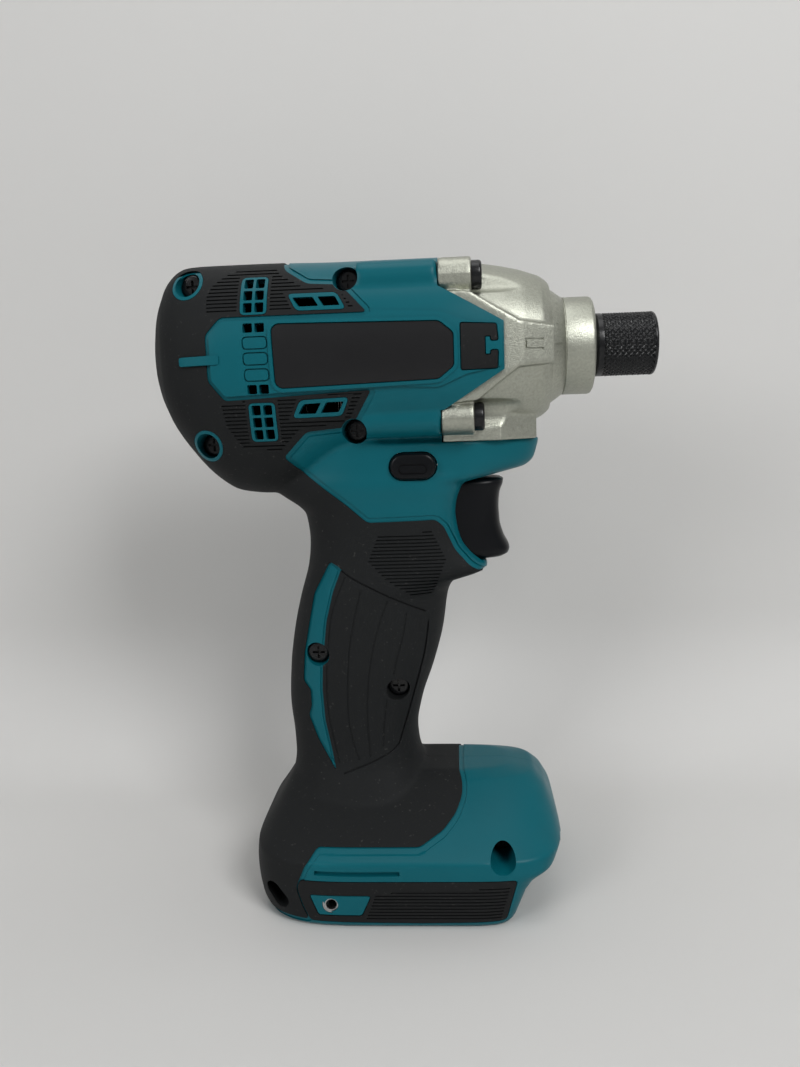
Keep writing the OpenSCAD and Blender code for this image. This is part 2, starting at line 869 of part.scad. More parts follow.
module housing_screws() {
    color(dark_steel)
        for (i = [0:len(screw_places) - 1]) {
            place = screw_places[i];
            seat = -screw_seats[i];
            side_bore(place[0], place[1], screw_diameter / 2, seat - eps, screw_reach[i]);
            difference() {
                side_bore(place[0], place[1], screw_head_diameter / 2, seat - screw_head_height, seat);
                translate([place[0], seat - screw_head_height, place[1]])
                    for (turn = [0, 90])
                        rotate([0, turn, 0])
                            cube([0.9, 2.4, 4.2], center = true);
            }
        }
}

// The four corners that the front screws run through
module at_tubes(x) {
    for (side = [-1, 1])
        for (level = [-1, 1])
            translate([x, side * tube_offset, axis_z + level * tube_offset])
                rotate([0, 90, 0])
                    children();
}

module hammer_case() {
    collar_r = collar_diameter / 2;
    outside = [
        [0, spigot_x], [spigot_r, spigot_x], [spigot_r, joint_x], [case_r, joint_x],
        [case_r, boss_front], [case_r - 0.4, joint_x + 12.5], [case_r - 1.1, joint_x + 18.5],
        [case_r - 2.5, joint_x + 24.5], [case_r - 4.5, joint_x + 30.2],
        [case_r - 6.2, joint_x + 32.5], [case_r - 8.6, nose_front], [collar_r + 0.8, collar_rear - 1.8],
        [collar_r, collar_rear], [collar_r, collar_front - 1], [collar_r - 1, collar_front], [0, collar_front]
    ];
    inside = [
        [0, spigot_x - 1], [cavity_r, spigot_x - 1], [cavity_r, joint_x + 17],
        [hammer_diameter / 2 + 0.5, hammer_front + 0.5], [arm_r + 0.6, hammer_front + 2],
        [arm_r + 0.6, nose_wall], [bush_r + seat_gap, nose_wall], [bush_r + seat_gap, bush_front],
        [lip_r, bush_front], [lip_r, collar_front + 1], [0, collar_front + 1]
    ];
    flange_outline = [
        [joint_x, -17], [joint_x + 17.5, -16], [joint_x + 28.6, -9], [joint_x + 28.6, 9],
        [joint_x + 17.5, 16], [joint_x, 17]
    ];
    spine_side = [
        [joint_x + 18.7, 8.5], [joint_x + 22.8, 6.7], [joint_x + 32.1, 5.3],
        [joint_x + 32.1, -5.5], [joint_x + 22.7, -6.4], [joint_x + 18.7, -8.8]
    ];
    spine_plan = [
        [joint_x + 18.7, -case_r], [joint_x + 23.5, -case_r + 0.4], [joint_x + 32.4, -case_r + 4.2],
        [joint_x + 32.4, case_r - 4.2], [joint_x + 23.5, case_r - 0.4], [joint_x + 18.7, case_r]
    ];
    color(cast_silver)
        difference() {
            union() {
                on_axis(0)
                    turned(outside);
                at_tubes(joint_x)
                    cylinder(r = tube_diameter / 2, h = boss_front - joint_x, $fn = 48);
                translate([0, 0, axis_z - flange_drop])
                    linear_extrude(9)
                        polygon(flange_outline);
                intersection() {
                    translate([0, 0, axis_z])
                        through(spine_side, case_r + 5);
                    translate([0, 0, axis_z - 15])
                        linear_extrude(30)
                            polygon(spine_plan);
                }
            }
            on_axis(0)
                turned(inside);
            at_tubes(joint_x - 1)
                cylinder(r = case_screw_r + free_gap, h = 20, $fn = 32);
            at_tubes(boss_front)
                cylinder(r = case_screw_head_r + 0.5, h = 14, $fn = 48);
        }
}

module hammer_case_screws() {
    color(dark_steel)
        at_tubes(joint_x - 18)
            difference() {
                union() {
                    cylinder(r = case_screw_r, h = boss_front - joint_x + 18.1, $fn = 32);
                    translate([0, 0, boss_front - joint_x + 18])
                        cylinder(r = case_screw_head_r, h = 2.9, $fn = 48);
                }
                translate([0, 0, boss_front - joint_x + 19.4])
                    cylinder(r = 2.2, h = 4, $fn = 6);
            }
}

module anvil_bush() {
    color(brass)
        on_axis(bush_rear)
            ring_solid(bush_r, anvil_diameter / 2 + run_gap, bush_front - bush_rear - seat_gap);
}

module anvil_washer() {
    color(steel)
        on_axis(washer_front - washer_thickness)
            ring_solid(arm_r - 2, anvil_diameter / 2 + free_gap, washer_thickness);
}

module motor_can() {
    color(steel)
        on_axis(can_rear)
            ring_solid(can_r, can_r - can_wall, can_front - can_rear);
}

module magnets() {
    magnet_span = 76;
    color(dark_steel)
        on_axis(core_rear - 1)
            for (k = [0:3])
                rotate(90 * k + 45 - magnet_span / 2)
                    rotate_extrude(angle = magnet_span, $fn = 96)
                        translate([magnet_r - magnet_thickness, 0])
                            square([magnet_thickness, core_front - core_rear + 2]);
}

// Room for one brush, towards +Y
module brush_channel(gap) {
    translate([brush_x - brush_hw[0] - gap, 0, axis_z - brush_hw[1] - gap])
        cube([2 * (brush_hw[0] + gap), brush_outer + gap, 2 * (brush_hw[1] + gap)]);
}

module brush_plate() {
    color(charcoal)
        difference() {
            on_axis(commutator_rear + 1)
                ring_solid(brush_plate_r, commutator_r + 1.5, can_rear - commutator_rear - 1.4);
            for (side = [0, 1])
                mirror([0, side, 0])
                    brush_channel(run_gap);
        }
}

module carbon_brushes() {
    color([0.2, 0.2, 0.21])
        for (side = [0, 1])
            mirror([0, side, 0])
                difference() {
                    brush_channel(0);
                    on_axis(commutator_rear - 1)
                        cylinder(r = commutator_r + free_gap / 2, h = 20, $fn = 96);
                }
}

module bearing(outer, inner, width) {
    groove = 0.5;
    shield = (outer - inner) / 4;
    turned([
        [inner, 0], [inner + shield, 0], [inner + shield, groove], [outer - shield, groove],
        [outer - shield, 0], [outer, 0], [outer, width], [outer - shield, width],
        [outer - shield, width - groove], [inner + shield, width - groove],
        [inner + shield, width], [inner, width]
    ]);
}

module rear_bearing() {
    color(steel)
        on_axis(rear_bearing_x)
            bearing(rear_bearing_r, shaft_r + run_gap, bearing_width);
}

module front_bearing() {
    color(steel)
        on_axis(front_bearing_x)
            bearing(front_bearing_r, front_journal_r + run_gap, bearing_width);
}

module armature_shaft() {
    sun_rear = spindle_bearing_rear - 0.6;
    color(steel) {
        on_axis(0)
            turned([
                [0, rear_bearing_x - 0.5], [shaft_r, rear_bearing_x - 0.5],
                [shaft_r, fan_rear - 0.6], [front_journal_r, fan_rear - 0.6],
                [front_journal_r, sun_rear + 0.2], [0, sun_rear + 0.2]
            ]);
        on_axis(sun_rear)
            linear_extrude(gear_front - free_gap - sun_rear)
                outside_gear(sun_teeth);
    }
}

module armature_core() {
    slots = 10;
    slot_width = 2.4;
    color(steel)
        on_axis(core_rear)
            difference() {
                ring_solid(core_r, shaft_r + seat_gap, core_front - core_rear);
                for (k = [0:slots - 1])
                    rotate(360 * k / slots)
                        translate([core_r - 6, -slot_width / 2, -1])
                            cube([10, slot_width, core_front - core_rear + 2]);
            }
}

module winding_end(x) {
    on_axis(x)
        turned([
            [shaft_r + 1.6, 0], [core_r - 3, 0], [core_r - 1.4, 1], [core_r - 1.4, 2.4],
            [core_r - 3, 3.4], [shaft_r + 1.6, 3.4]
        ]);
}

module armature_windings() {
    color(copper) {
        winding_end(core_rear - 3.4 - seat_gap);
        winding_end(core_front + seat_gap);
    }
}

module commutator() {
    bars = 20;
    color(copper)
        on_axis(commutator_rear)
            difference() {
                ring_solid(commutator_r, shaft_r + seat_gap, commutator_front - commutator_rear);
                for (k = [0:bars - 1])
                    rotate(360 * k / bars)
                        translate([commutator_r - 0.7, -0.2, -1])
                            cube([2, 0.4, commutator_front - commutator_rear + 2]);
            }
}

module cooling_fan() {
    blades = 16;
    fan_r = fan_diameter / 2;
    hub_r = 8;
    disc = 1.6;
    color(charcoal)
        on_axis(fan_rear)
            difference() {
                union() {
                    cylinder(r = fan_r, h = disc, $fn = 96);
                    cylinder(r = hub_r, h = fan_front - fan_rear - 0.5, $fn = 64);
                    for (k = [0:blades - 1])
                        rotate(360 * k / blades)
                            translate([hub_r - 1, -0.7, disc / 2])
                                cube([fan_r - hub_r, 1.4, fan_front - fan_rear - disc]);
                }
                translate([0, 0, -1])
                    cylinder(r = front_journal_r + seat_gap, h = 20, $fn = 64);
            }
}

module gear_box() {
    color(dark_steel)
        on_axis(0)
            turned([
                [front_bearing_r + seat_gap, box_rear], [gear_neck_r, box_rear],
                [gear_neck_r, gear_flange_x], [spigot_r, gear_flange_x], [spigot_r, gear_front - seat_gap],
                [ring_gear_r + seat_gap, gear_front - seat_gap],
                [ring_gear_r + seat_gap, gear_rear - seat_gap],
                [carrier_r + 1.5, gear_rear - seat_gap], [carrier_r + 1.5, carrier_rear - free_gap],
                [spindle_bearing_r + seat_gap, carrier_rear - free_gap],
                [spindle_bearing_r + seat_gap, spindle_bearing_rear - seat_gap],
                [journal_bore + 0.6, spindle_bearing_rear - seat_gap],
                [journal_bore + 0.6, front_bearing_x + bearing_width + seat_gap],
                [front_bearing_r + seat_gap, front_bearing_x + bearing_width + seat_gap]
            ]);
}

module ring_gear() {
    pitch = gear_module * ring_teeth / 2;
    color(steel)
        on_axis(gear_rear)
            linear_extrude(gear_front - gear_rear - seat_gap)
                difference() {
                    circle(r = ring_gear_r, $fn = 96);
                    rotate(180 / ring_teeth)
                        gear_outline(ring_teeth, pitch + gear_module * tooth_root,
                                     pitch - gear_module * tooth_tip, -backlash);
                }
}

module spindle_bearing() {
    color(steel)
        on_axis(spindle_bearing_rear)
            bearing(spindle_bearing_r, journal_r + run_gap, bearing_width);
}

module at_planets(x) {
    for (level = [-1, 1])
        translate([0, 0, level * planet_orbit])
            on_axis(x)
                children();
}

module spindle() {
    web = [9, 6];
    web_place = 11.5;
    plate_rear = gear_front + free_gap;
    color(steel)
        difference() {
            union() {
                on_axis(0)
                    turned([
                        [0, spindle_bearing_rear], [journal_r, spindle_bearing_rear],
                        [journal_r, carrier_rear], [carrier_r, carrier_rear],
                        [carrier_r, gear_rear - free_gap / 2], [0, gear_rear - free_gap / 2]
                    ]);
                on_axis(0)
                    turned([
                        [0, plate_rear], [spring_plate_r, plate_rear], [spring_plate_r, carrier_front],
                        [spindle_r, carrier_front], [spindle_r, hammer_front], [pilot_r, hammer_front],
                        [pilot_r, hammer_front + 8], [0, hammer_front + 8]
                    ]);
                on_axis(gear_rear - 1)
                    for (side = [-1, 1])
                        translate([side * web_place - web[1] / 2, -web[0] / 2, 0])
                            cube([web[1], web[0], plate_rear - gear_rear + 2]);
            }
            on_axis(spindle_bearing_rear - 1)
                cylinder(r = journal_bore, h = plate_rear - spindle_bearing_rear + 1 - free_gap, $fn = 64);
            at_planets(carrier_rear - 1)
                cylinder(r = planet_pin_r + seat_gap, h = carrier_front - carrier_rear + 0.4, $fn = 48);
            for (level = [-1, 1])
                translate([cam_ball_x, 0, axis_z + level * cam_ball_orbit])
                    sphere(r = cam_ball_r + seat_gap, $fn = 48);
        }
}

module planet_pins() {
    color(steel)
        at_planets(carrier_rear)
            cylinder(r = planet_pin_r, h = carrier_front - carrier_rear - 0.8, $fn = 48);
}

module planet_gear(level) {
    color(steel)
        translate([0, 0, level * planet_orbit])
            on_axis(gear_rear + free_gap / 2)
                linear_extrude(gear_width)
                    difference() {
                        outside_gear(planet_teeth);
                        circle(r = planet_pin_r + run_gap, $fn = 64);
                    }
}

module planet_gear_upper() {
    planet_gear(1);
}

module planet_gear_lower() {
    planet_gear(-1);
}

module cam_balls() {
    color(steel)
        for (level = [-1, 1])
            translate([cam_ball_x, 0, axis_z + level * cam_ball_orbit])
                sphere(r = cam_ball_r, $fn = 48);
}

// A sector of a ring round the axis, centred on an angle
module sector(inner, outer, span, middle, length) {
    rotate(middle - span / 2)
        rotate_extrude(angle = span, $fn = 96)
            translate([inner, 0])
                square([outer - inner, length]);
}

module hammer() {
    hammer_r = hammer_diameter / 2;
    bore_r = spindle_r + run_gap;
    color(dark_steel)
        difference() {
            union() {
                on_axis(0)
                    turned([
                        [bore_r, hammer_rear], [spring_inner - 0.7, hammer_rear],
                        [spring_inner - 0.7, pocket_end], [spring_outer + 0.7, pocket_end],
                        [spring_outer + 0.7, hammer_rear], [hammer_r - 1, hammer_rear],
                        [hammer_r, hammer_rear + 1], [hammer_r, hammer_front - 1],
                        [hammer_r - 1, hammer_front], [bore_r, hammer_front]
                    ]);
                on_axis(hammer_front - 0.2)
                    for (side = [0, 180])
                        sector(jaw_inner, arm_r, jaw_angle, side, jaw_length + 0.2);
            }
            for (level = [-1, 1])
                translate([cam_ball_x - cam_ball_r - free_gap, 0, axis_z + level * cam_ball_orbit])
                    rotate([0, 90, 0])
                        cylinder(r = cam_ball_r + free_gap, h = 30, $fn = 48);
        }
}

module hammer_spring() {
    color(steel)
        on_axis(carrier_front + seat_gap)
            ring_solid(spring_outer, spring_inner, pocket_end - carrier_front - 2 * seat_gap);
}

module anvil() {
    hex_r = hex_across_flats / 2 / cos(30);
    color(steel)
        difference() {
            union() {
                on_axis(0)
                    turned([
                        [0, arm_rear], [hub_r, arm_rear], [hub_r, arm_front],
                        [anvil_diameter / 2, arm_front], [anvil_diameter / 2, neck_x], [neck_r, neck_x],
                        [neck_r, ring_x - seat_gap], [ring_seat_r, ring_x - seat_gap],
                        [ring_seat_r, ring_x + ring_width + seat_gap],
                        [neck_r, ring_x + ring_width + seat_gap],
                        [neck_r, anvil_front - 0.5], [neck_r - 0.5, anvil_front], [0, anvil_front]
                    ]);
                on_axis(arm_rear)
                    for (side = [0, 180])
                        sector(hub_r - 0.5, arm_r, arm_angle, side + arm_turn, arm_front - arm_rear);
            }
            on_axis(arm_rear - 1)
                cylinder(r = pilot_r + run_gap, h = 10.2, $fn = 64);
            on_axis(anvil_front - socket_depth)
                cylinder(r = hex_r, h = socket_depth + 1, $fn = 6);
            side_bore(ball_x, axis_z, ball_r + run_gap, -neck_r - 2, neck_r + 2);
        }
}

module detent_ball(side) {
    color(steel)
        translate([ball_x, side * ball_seat, axis_z])
            sphere(r = ball_r, $fn = 48);
}

module detent_ball_right() {
    detent_ball(-1);
}

module detent_ball_left() {
    detent_ball(1);
}

module bit_sleeve() {
    sleeve_r = sleeve_diameter / 2;
    land_r = neck_r + run_gap;
    ramp_at_ball = neck_r + 0.2;
    ramp_at_rear = ramp_at_ball + ball_lift * (ball_x - sleeve_rear);
    land_rear = ball_x + (ramp_at_ball - land_r) / ball_lift;
    color(dark_steel)
        on_axis(0)
            turned([
                [ramp_at_rear, sleeve_rear], [sleeve_r - 0.8, sleeve_rear], [sleeve_r, sleeve_rear + 0.8],
                [sleeve_r, front_x - 1.2], [sleeve_r - 0.7, front_x], [chamber_r, front_x],
                [chamber_r, land_front], [land_r, land_front], [land_r, land_rear]
            ]);
}

module sleeve_spring() {
    color(steel)
        on_axis(land_front + seat_gap)
            ring_solid(chamber_r - 0.5, neck_r + 0.3, ring_x - land_front - 2 * seat_gap);
}

module sleeve_ring() {
    color(steel)
        on_axis(ring_x)
            ring_solid(chamber_r - free_gap, ring_seat_r + seat_gap, ring_width);
}

module switch_body() {
    color(charcoal)
        difference() {
            translate([switch_front - switch_length, -switch_hw, switch_low])
                cube([switch_length, 2 * switch_hw, switch_high - switch_low]);
            translate([switch_front - stem_in - trigger_travel - 1, 0, stem_z])
                rotate([0, 90, 0])
                    cylinder(r = stem_r + run_gap, h = 60, $fn = 48);
        }
}

module trigger() {
    color(dark_steel) {
        through(trigger_shape, trigger_hw);
        translate([switch_front - stem_in, 0, stem_z])
            rotate([0, 90, 0])
                cylinder(r = stem_r, h = trigger_back - switch_front + stem_in + 1, $fn = 48);
    }
}

module trigger_spring() {
    color(steel)
        translate([switch_front + seat_gap, 0, stem_z])
            rotate([0, 90, 0])
                ring_solid(stem_r + 2, stem_r + 0.6, trigger_back - switch_front - 2 * seat_gap);
}

module reversing_lever() {
    color(dark_steel)
        intersection() {
            lever_oval(0);
            translate([-foot_width, -lever_reach, 0])
                cube([2 * foot_width, 2 * lever_reach, axis_z]);
        }
}

module work_lamp() {
    color([0.9, 0.9, 0.8])
        translate([lamp_back, 0, lamp_z])
            rotate([0, 90, 0])
                cylinder(r = lamp_r - 0.1, h = lens_front - lens_length - lamp_back, $fn = 48);
}

module lamp_lens() {
    color([0.85, 0.9, 0.92])
        translate([lens_front - lens_length, 0, lamp_z])
            rotate([0, 90, 0])
                cylinder(r = lamp_r, h = lens_length, $fn = 48);
}

module terminal_block() {
    color(charcoal)
        translate([block_rear, -block_hw, slot_height - block_height])
            cube([block_front - block_rear, 2 * block_hw, block_height]);
}

module terminal_blades() {
    blade_spread = 8;
    blade_length = 10;
    blade_height = 6;
    blade_thickness = 1;
    color(brass)
        for (side = [-1, 1])
            translate([block_front, side * blade_spread - blade_thickness / 2, slot_height - 7.5])
                cube([blade_length, blade_thickness, blade_height]);
}

module hook_nuts() {
    color(brass)
        for (side = [0, 1])
            mirror([0, side, 0])
                difference() {
                    side_bore(hook_nut_x, hook_nut_z, hook_nut_r,
                              -hook_nut_face, hook_nut_length - hook_nut_face);
                    side_bore(hook_nut_x, hook_nut_z, hook_thread / 2, -foot_width, 0);
                }
}

function heading(a, b) = atan2(b[1] - a[1], b[0] - a[0]);

// A round lead along points in X and Z at one place across the tool
module lead(points, y, r) {
    last = len(points) - 1;
    sides = 8;
    rings = [for (i = [0:last])
        let (before = heading(points[max(0, i - 1)], points[max(1, i)]),
             after = heading(points[min(last - 1, i)], points[min(last, i + 1)]),
             lean = (before + after) / 2 + 90,
             stretch = 1 / cos((after - before) / 2))
        for (k = [0:sides - 1])
            let (a = 360 * k / sides)
            [points[i][0] + r * stretch * sin(a) * cos(lean), y + r * cos(a),
             points[i][1] + r * stretch * sin(a) * sin(lean)]];
    walls = [for (i = [0:last - 1]) for (k = [0:sides - 1])
        let (n = (k + 1) % sides)
        each [
            [i * sides + k, i * sides + n, (i + 1) * sides + k],
            [(i + 1) * sides + k, i * sides + n, (i + 1) * sides + n]
        ]];
    caps = [for (k = [1:sides - 2]) each [
        [0, k + 1, k],
        [last * sides, last * sides + k, last * sides + k + 1]
    ]];
    polyhedron(points = rings, faces = concat(walls, caps));
}

module battery_leads() {
    color([0.6, 0.1, 0.1])
        for (side = [-1, 1])
            lead([[lead_x, slot_height + seat_gap], [lead_x, switch_low - seat_gap]],
                 side * lead_spread, lead_r);
}

housing_right();
housing_left();
grip_right();
grip_left();
foot_pads();
side_pads();
side_plates();
housing_screws();
hammer_case();
hammer_case_screws();
anvil_bush();
anvil_washer();
motor_can();
magnets();
brush_plate();
carbon_brushes();
rear_bearing();
front_bearing();
armature_shaft();
armature_core();
armature_windings();
commutator();
cooling_fan();
gear_box();
ring_gear();
spindle_bearing();
spindle();
planet_pins();
planet_gear_upper();
planet_gear_lower();
cam_balls();
hammer();
hammer_spring();
anvil();
detent_ball_right();
detent_ball_left();
bit_sleeve();
sleeve_spring();
sleeve_ring();
switch_body();
trigger();
trigger_spring();
reversing_lever();
work_lamp();
lamp_lens();
terminal_block();
terminal_blades();
hook_nuts();
battery_leads();
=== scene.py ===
import json
import math

import bpy
import bmesh
from mathutils import Matrix, Vector


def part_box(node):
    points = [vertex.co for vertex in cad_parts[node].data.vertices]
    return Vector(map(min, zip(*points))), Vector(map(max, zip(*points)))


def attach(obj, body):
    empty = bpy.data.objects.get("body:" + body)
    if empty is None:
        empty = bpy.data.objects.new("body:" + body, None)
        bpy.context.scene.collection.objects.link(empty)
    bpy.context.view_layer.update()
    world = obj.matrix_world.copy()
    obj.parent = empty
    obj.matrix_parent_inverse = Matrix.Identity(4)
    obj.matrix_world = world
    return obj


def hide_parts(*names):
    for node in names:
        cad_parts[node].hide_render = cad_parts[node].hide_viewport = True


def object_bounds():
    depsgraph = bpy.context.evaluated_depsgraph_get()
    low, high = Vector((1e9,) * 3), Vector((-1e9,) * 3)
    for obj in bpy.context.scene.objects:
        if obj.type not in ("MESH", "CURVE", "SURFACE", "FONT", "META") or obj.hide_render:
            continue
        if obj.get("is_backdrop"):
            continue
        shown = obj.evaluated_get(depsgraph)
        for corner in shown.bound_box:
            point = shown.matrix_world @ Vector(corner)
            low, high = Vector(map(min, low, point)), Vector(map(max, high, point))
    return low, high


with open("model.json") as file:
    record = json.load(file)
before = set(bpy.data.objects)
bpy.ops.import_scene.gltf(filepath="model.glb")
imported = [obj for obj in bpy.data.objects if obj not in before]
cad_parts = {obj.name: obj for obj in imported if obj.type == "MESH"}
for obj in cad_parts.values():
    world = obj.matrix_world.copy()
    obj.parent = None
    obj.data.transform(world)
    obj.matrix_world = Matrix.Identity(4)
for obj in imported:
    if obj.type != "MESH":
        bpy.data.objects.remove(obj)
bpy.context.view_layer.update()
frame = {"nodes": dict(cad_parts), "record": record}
scene = bpy.context.scene
mm = 0.001  # lengths below are millimetres until a mesh is made
print("frame loaded,", len(frame["nodes"]), "nodes")


def nodeBox(node):
    low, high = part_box(node)
    return low / mm, high / mm


# places that every piece is worked out from
sleeveLow, sleeveHigh = nodeBox("bit_sleeve")
caseLow = nodeBox("hammer_case")[0]
gripLow, gripHigh = nodeBox("grip_right")
shellHigh = nodeBox("housing_left")[1]
triggerLow, triggerHigh = nodeBox("trigger")
leverLow, leverHigh = nodeBox("reversing_lever")
lensLow, lensHigh = nodeBox("lamp_lens")
axisZ = (sleeveLow.z + sleeveHigh.z) / 2
rearX, frontX, topZ, footHalf = gripLow.x, sleeveHigh.x, gripHigh.z, shellHigh.y
spigotLong = 8.2  # the part of the case that sits inside the housing
jointX = caseLow.x + spigotLong
headTop = topZ - axisZ
beside, past = -90, 5  # side cutters start this far out on the right, and some pass the middle


def newPiece(name, bm, outward=True):
    if outward:
        bmesh.ops.recalc_face_normals(bm, faces=bm.faces)
    bmesh.ops.scale(bm, vec=(mm, mm, mm), verts=bm.verts)
    mesh = bpy.data.meshes.new(name)
    bm.to_mesh(mesh)
    bm.free()
    piece = bpy.data.objects.new(name, mesh)
    scene.collection.objects.link(piece)
    return piece


def discard(piece):
    mesh = piece.data
    bpy.data.objects.remove(piece)
    bpy.data.meshes.remove(mesh)


def bake(piece):
    mesh = bpy.data.meshes.new_from_object(piece.evaluated_get(bpy.context.evaluated_depsgraph_get()))
    old = piece.data
    piece.modifiers.clear()
    piece.data = mesh
    bpy.data.meshes.remove(old)
    mesh.name = piece.name


def carve(piece, tool, operation="DIFFERENCE", keep=False):
    cut = piece.modifiers.new("cut", "BOOLEAN")
    cut.object = tool
    cut.operation = operation
    cut.solver = "MANIFOLD"
    bake(piece)
    if not keep:
        discard(tool)


def duplicate(piece, name):
    copy = bpy.data.objects.new(name, piece.data.copy())
    scene.collection.objects.link(copy)
    return copy


def remesh(piece, voxel, rounds):
    cells = piece.modifiers.new("cells", "REMESH")
    cells.mode = "VOXEL"
    cells.voxel_size = voxel * mm
    bake(piece)
    bm = bmesh.new()
    bm.from_mesh(piece.data)
    for _ in range(rounds):
        bmesh.ops.smooth_vert(bm, verts=bm.verts, factor=0.5, use_axis_x=True, use_axis_y=True, use_axis_z=True)
    bm.to_mesh(piece.data)
    bm.free()


def swell(piece, distance):
    mesh = piece.data
    moved = [v.co + v.normal * distance * mm for v in mesh.vertices]
    for vert, place in zip(mesh.vertices, moved):
        vert.co = place
    mesh.update()


def smooth(piece, angle=38):
    piece.data.shade_smooth()
    piece.data.set_sharp_from_angle(angle=math.radians(angle))


def mirrored(piece, name):
    copy = duplicate(piece, name)
    bm = bmesh.new()
    bm.from_mesh(copy.data)
    bmesh.ops.scale(bm, vec=(1, -1, 1), verts=bm.verts)
    bmesh.ops.reverse_faces(bm, faces=bm.faces)
    bm.to_mesh(copy.data)
    bm.free()
    return copy


def section(right, left, up, down, power, rightPower, count):
    points = []
    for i in range(count):
        angle = 2 * math.pi * i / count
        c, s = math.cos(angle), math.sin(angle)
        p = 2 / (rightPower if c > 0 else power)
        u, v = math.copysign(abs(c) ** p, c), math.copysign(abs(s) ** p, s)
        points.append((u * (right if u > 0 else left), v * (up if v > 0 else down)))
    return points


def eased(rows, step):
    # rows eased into a smooth run of sections that never overshoots
    places = [row[0] for row in rows]
    columns = list(zip(*rows))[1:]
    bends = []
    for column in columns:
        rise = [(b - a) / (q - p) for p, q, a, b in zip(places, places[1:], column, column[1:])]
        inner = [0 if a * b <= 0 else 2 * a * b / (a + b) for a, b in zip(rise, rise[1:])]
        bends.append([rise[0]] + inner + [rise[-1]])
    out = []
    for i, (start, end) in enumerate(zip(places, places[1:])):
        count = max(1, round(abs(end - start) / step))
        for k in range(count):
            t = k / count
            width = end - start
            row = [start + width * t]
            for column, bend in zip(columns, bends):
                a, b = column[i], column[i + 1]
                row.append((1 + 2 * t) * (1 - t) ** 2 * a + t * (1 - t) ** 2 * width * bend[i]
                           + t * t * (3 - 2 * t) * b + t * t * (t - 1) * width * bend[i + 1])
            out.append(row)
    out.append(list(rows[-1]))
    return out


def lofted(name, rings):
    # closed rings bridged from the first to the last, with both ends filled
    bm = bmesh.new()
    loops = []
    for points in rings:
        verts = bmesh.ops.create_circle(bm, segments=len(points), radius=1)["verts"]
        for vert, point in zip(verts, points):
            vert.co = point
        loops.append(list({edge for vert in verts for edge in vert.link_edges}))
    for near, far in zip(loops, loops[1:]):
        bmesh.ops.bridge_loops(bm, edges=near + far)
    bmesh.ops.edgeloop_fill(bm, edges=loops[0])
    bmesh.ops.edgeloop_fill(bm, edges=loops[-1])
    return newPiece(name, bm)


def rounded(points, radius, steps=4):
    # outline with its corners turned into arcs
    sideShare = 0.45  # the most of a side that one corner takes
    out = []
    count = len(points)
    for i in range(count):
        a, b, c = (Vector(points[(i + k) % count]) for k in (-1, 0, 1))
        into, away = (a - b), (c - b)
        reach = min(radius, sideShare * into.length, sideShare * away.length)
        start, end = b + into.normalized() * reach, b + away.normalized() * reach
        for k in range(steps + 1):
            t = k / steps
            out.append(tuple((1 - t) ** 2 * start + 2 * t * (1 - t) * b + t * t * end))
    return out


def grown(points, distance):
    # outline moved outwards by a distance
    area = sum(a[0] * b[1] - b[0] * a[1] for a, b in zip(points, points[1:] + points[:1]))
    side = 1 if area > 0 else -1
    foldedBack, sharpest = 0.3, 0.45  # limits at very sharp corners
    out = []
    count = len(points)
    for i in range(count):
        a, b, c = (Vector(points[(i + k) % count]) for k in (-1, 0, 1))
        first, second = (b - a).normalized(), (c - b).normalized()
        normals = [Vector((d.y, -d.x)) * side for d in (first, second)]
        lean = normals[0] + normals[1]
        if lean.length < foldedBack:
            lean = normals[0]
        lean.normalize()
        out.append(tuple(b + lean * distance / max(sharpest, lean.dot(normals[0]))))
    return out


def movedVerts(made):
    return [g for g in made["geom"] if isinstance(g, bmesh.types.BMVert)]


def carryFace(bm, points, reach):
    # face through the points, carried along a vector
    face = bm.faces.new([bm.verts.new(point) for point in points])
    made = bmesh.ops.extrude_face_region(bm, geom=[face])
    bmesh.ops.translate(bm, vec=reach, verts=movedVerts(made))


def prisms(name, outlines, low=beside, high=0.0):
    # side outlines in X and Z that keep clear of each other, carried from one Y to another
    bm = bmesh.new()
    for outline in outlines:
        carryFace(bm, [(x, low, z) for x, z in outline], (0, high - low, 0))
    return newPiece(name, bm)


def prism(name, outline, low=beside, high=0.0):
    return prisms(name, [outline], low, high)


def planPrism(name, outline, low, high):
    # plan outline in X and Y carried from one height to another
    bm = bmesh.new()
    carryFace(bm, [(x, y, low) for x, y in outline], (0, 0, high - low))
    return newPiece(name, bm)


def block(name, low, high):
    bm = bmesh.new()
    bmesh.ops.create_cube(bm, size=1)
    bmesh.ops.scale(bm, vec=[b - a for a, b in zip(low, high)], verts=bm.verts)
    bmesh.ops.translate(bm, vec=[(a + b) / 2 for a, b in zip(low, high)], verts=bm.verts)
    return newPiece(name, bm)


def rod(name, start, end, radius, sides=40):
    start, end = Vector(start), Vector(end)
    turn = Vector((0, 0, 1)).rotation_difference(end - start).to_matrix().to_4x4()
    bm = bmesh.new()
    bmesh.ops.create_cone(bm, cap_ends=True, segments=sides, radius1=radius, radius2=radius,
                          depth=(end - start).length, matrix=Matrix.Translation((start + end) / 2) @ turn)
    return newPiece(name, bm)


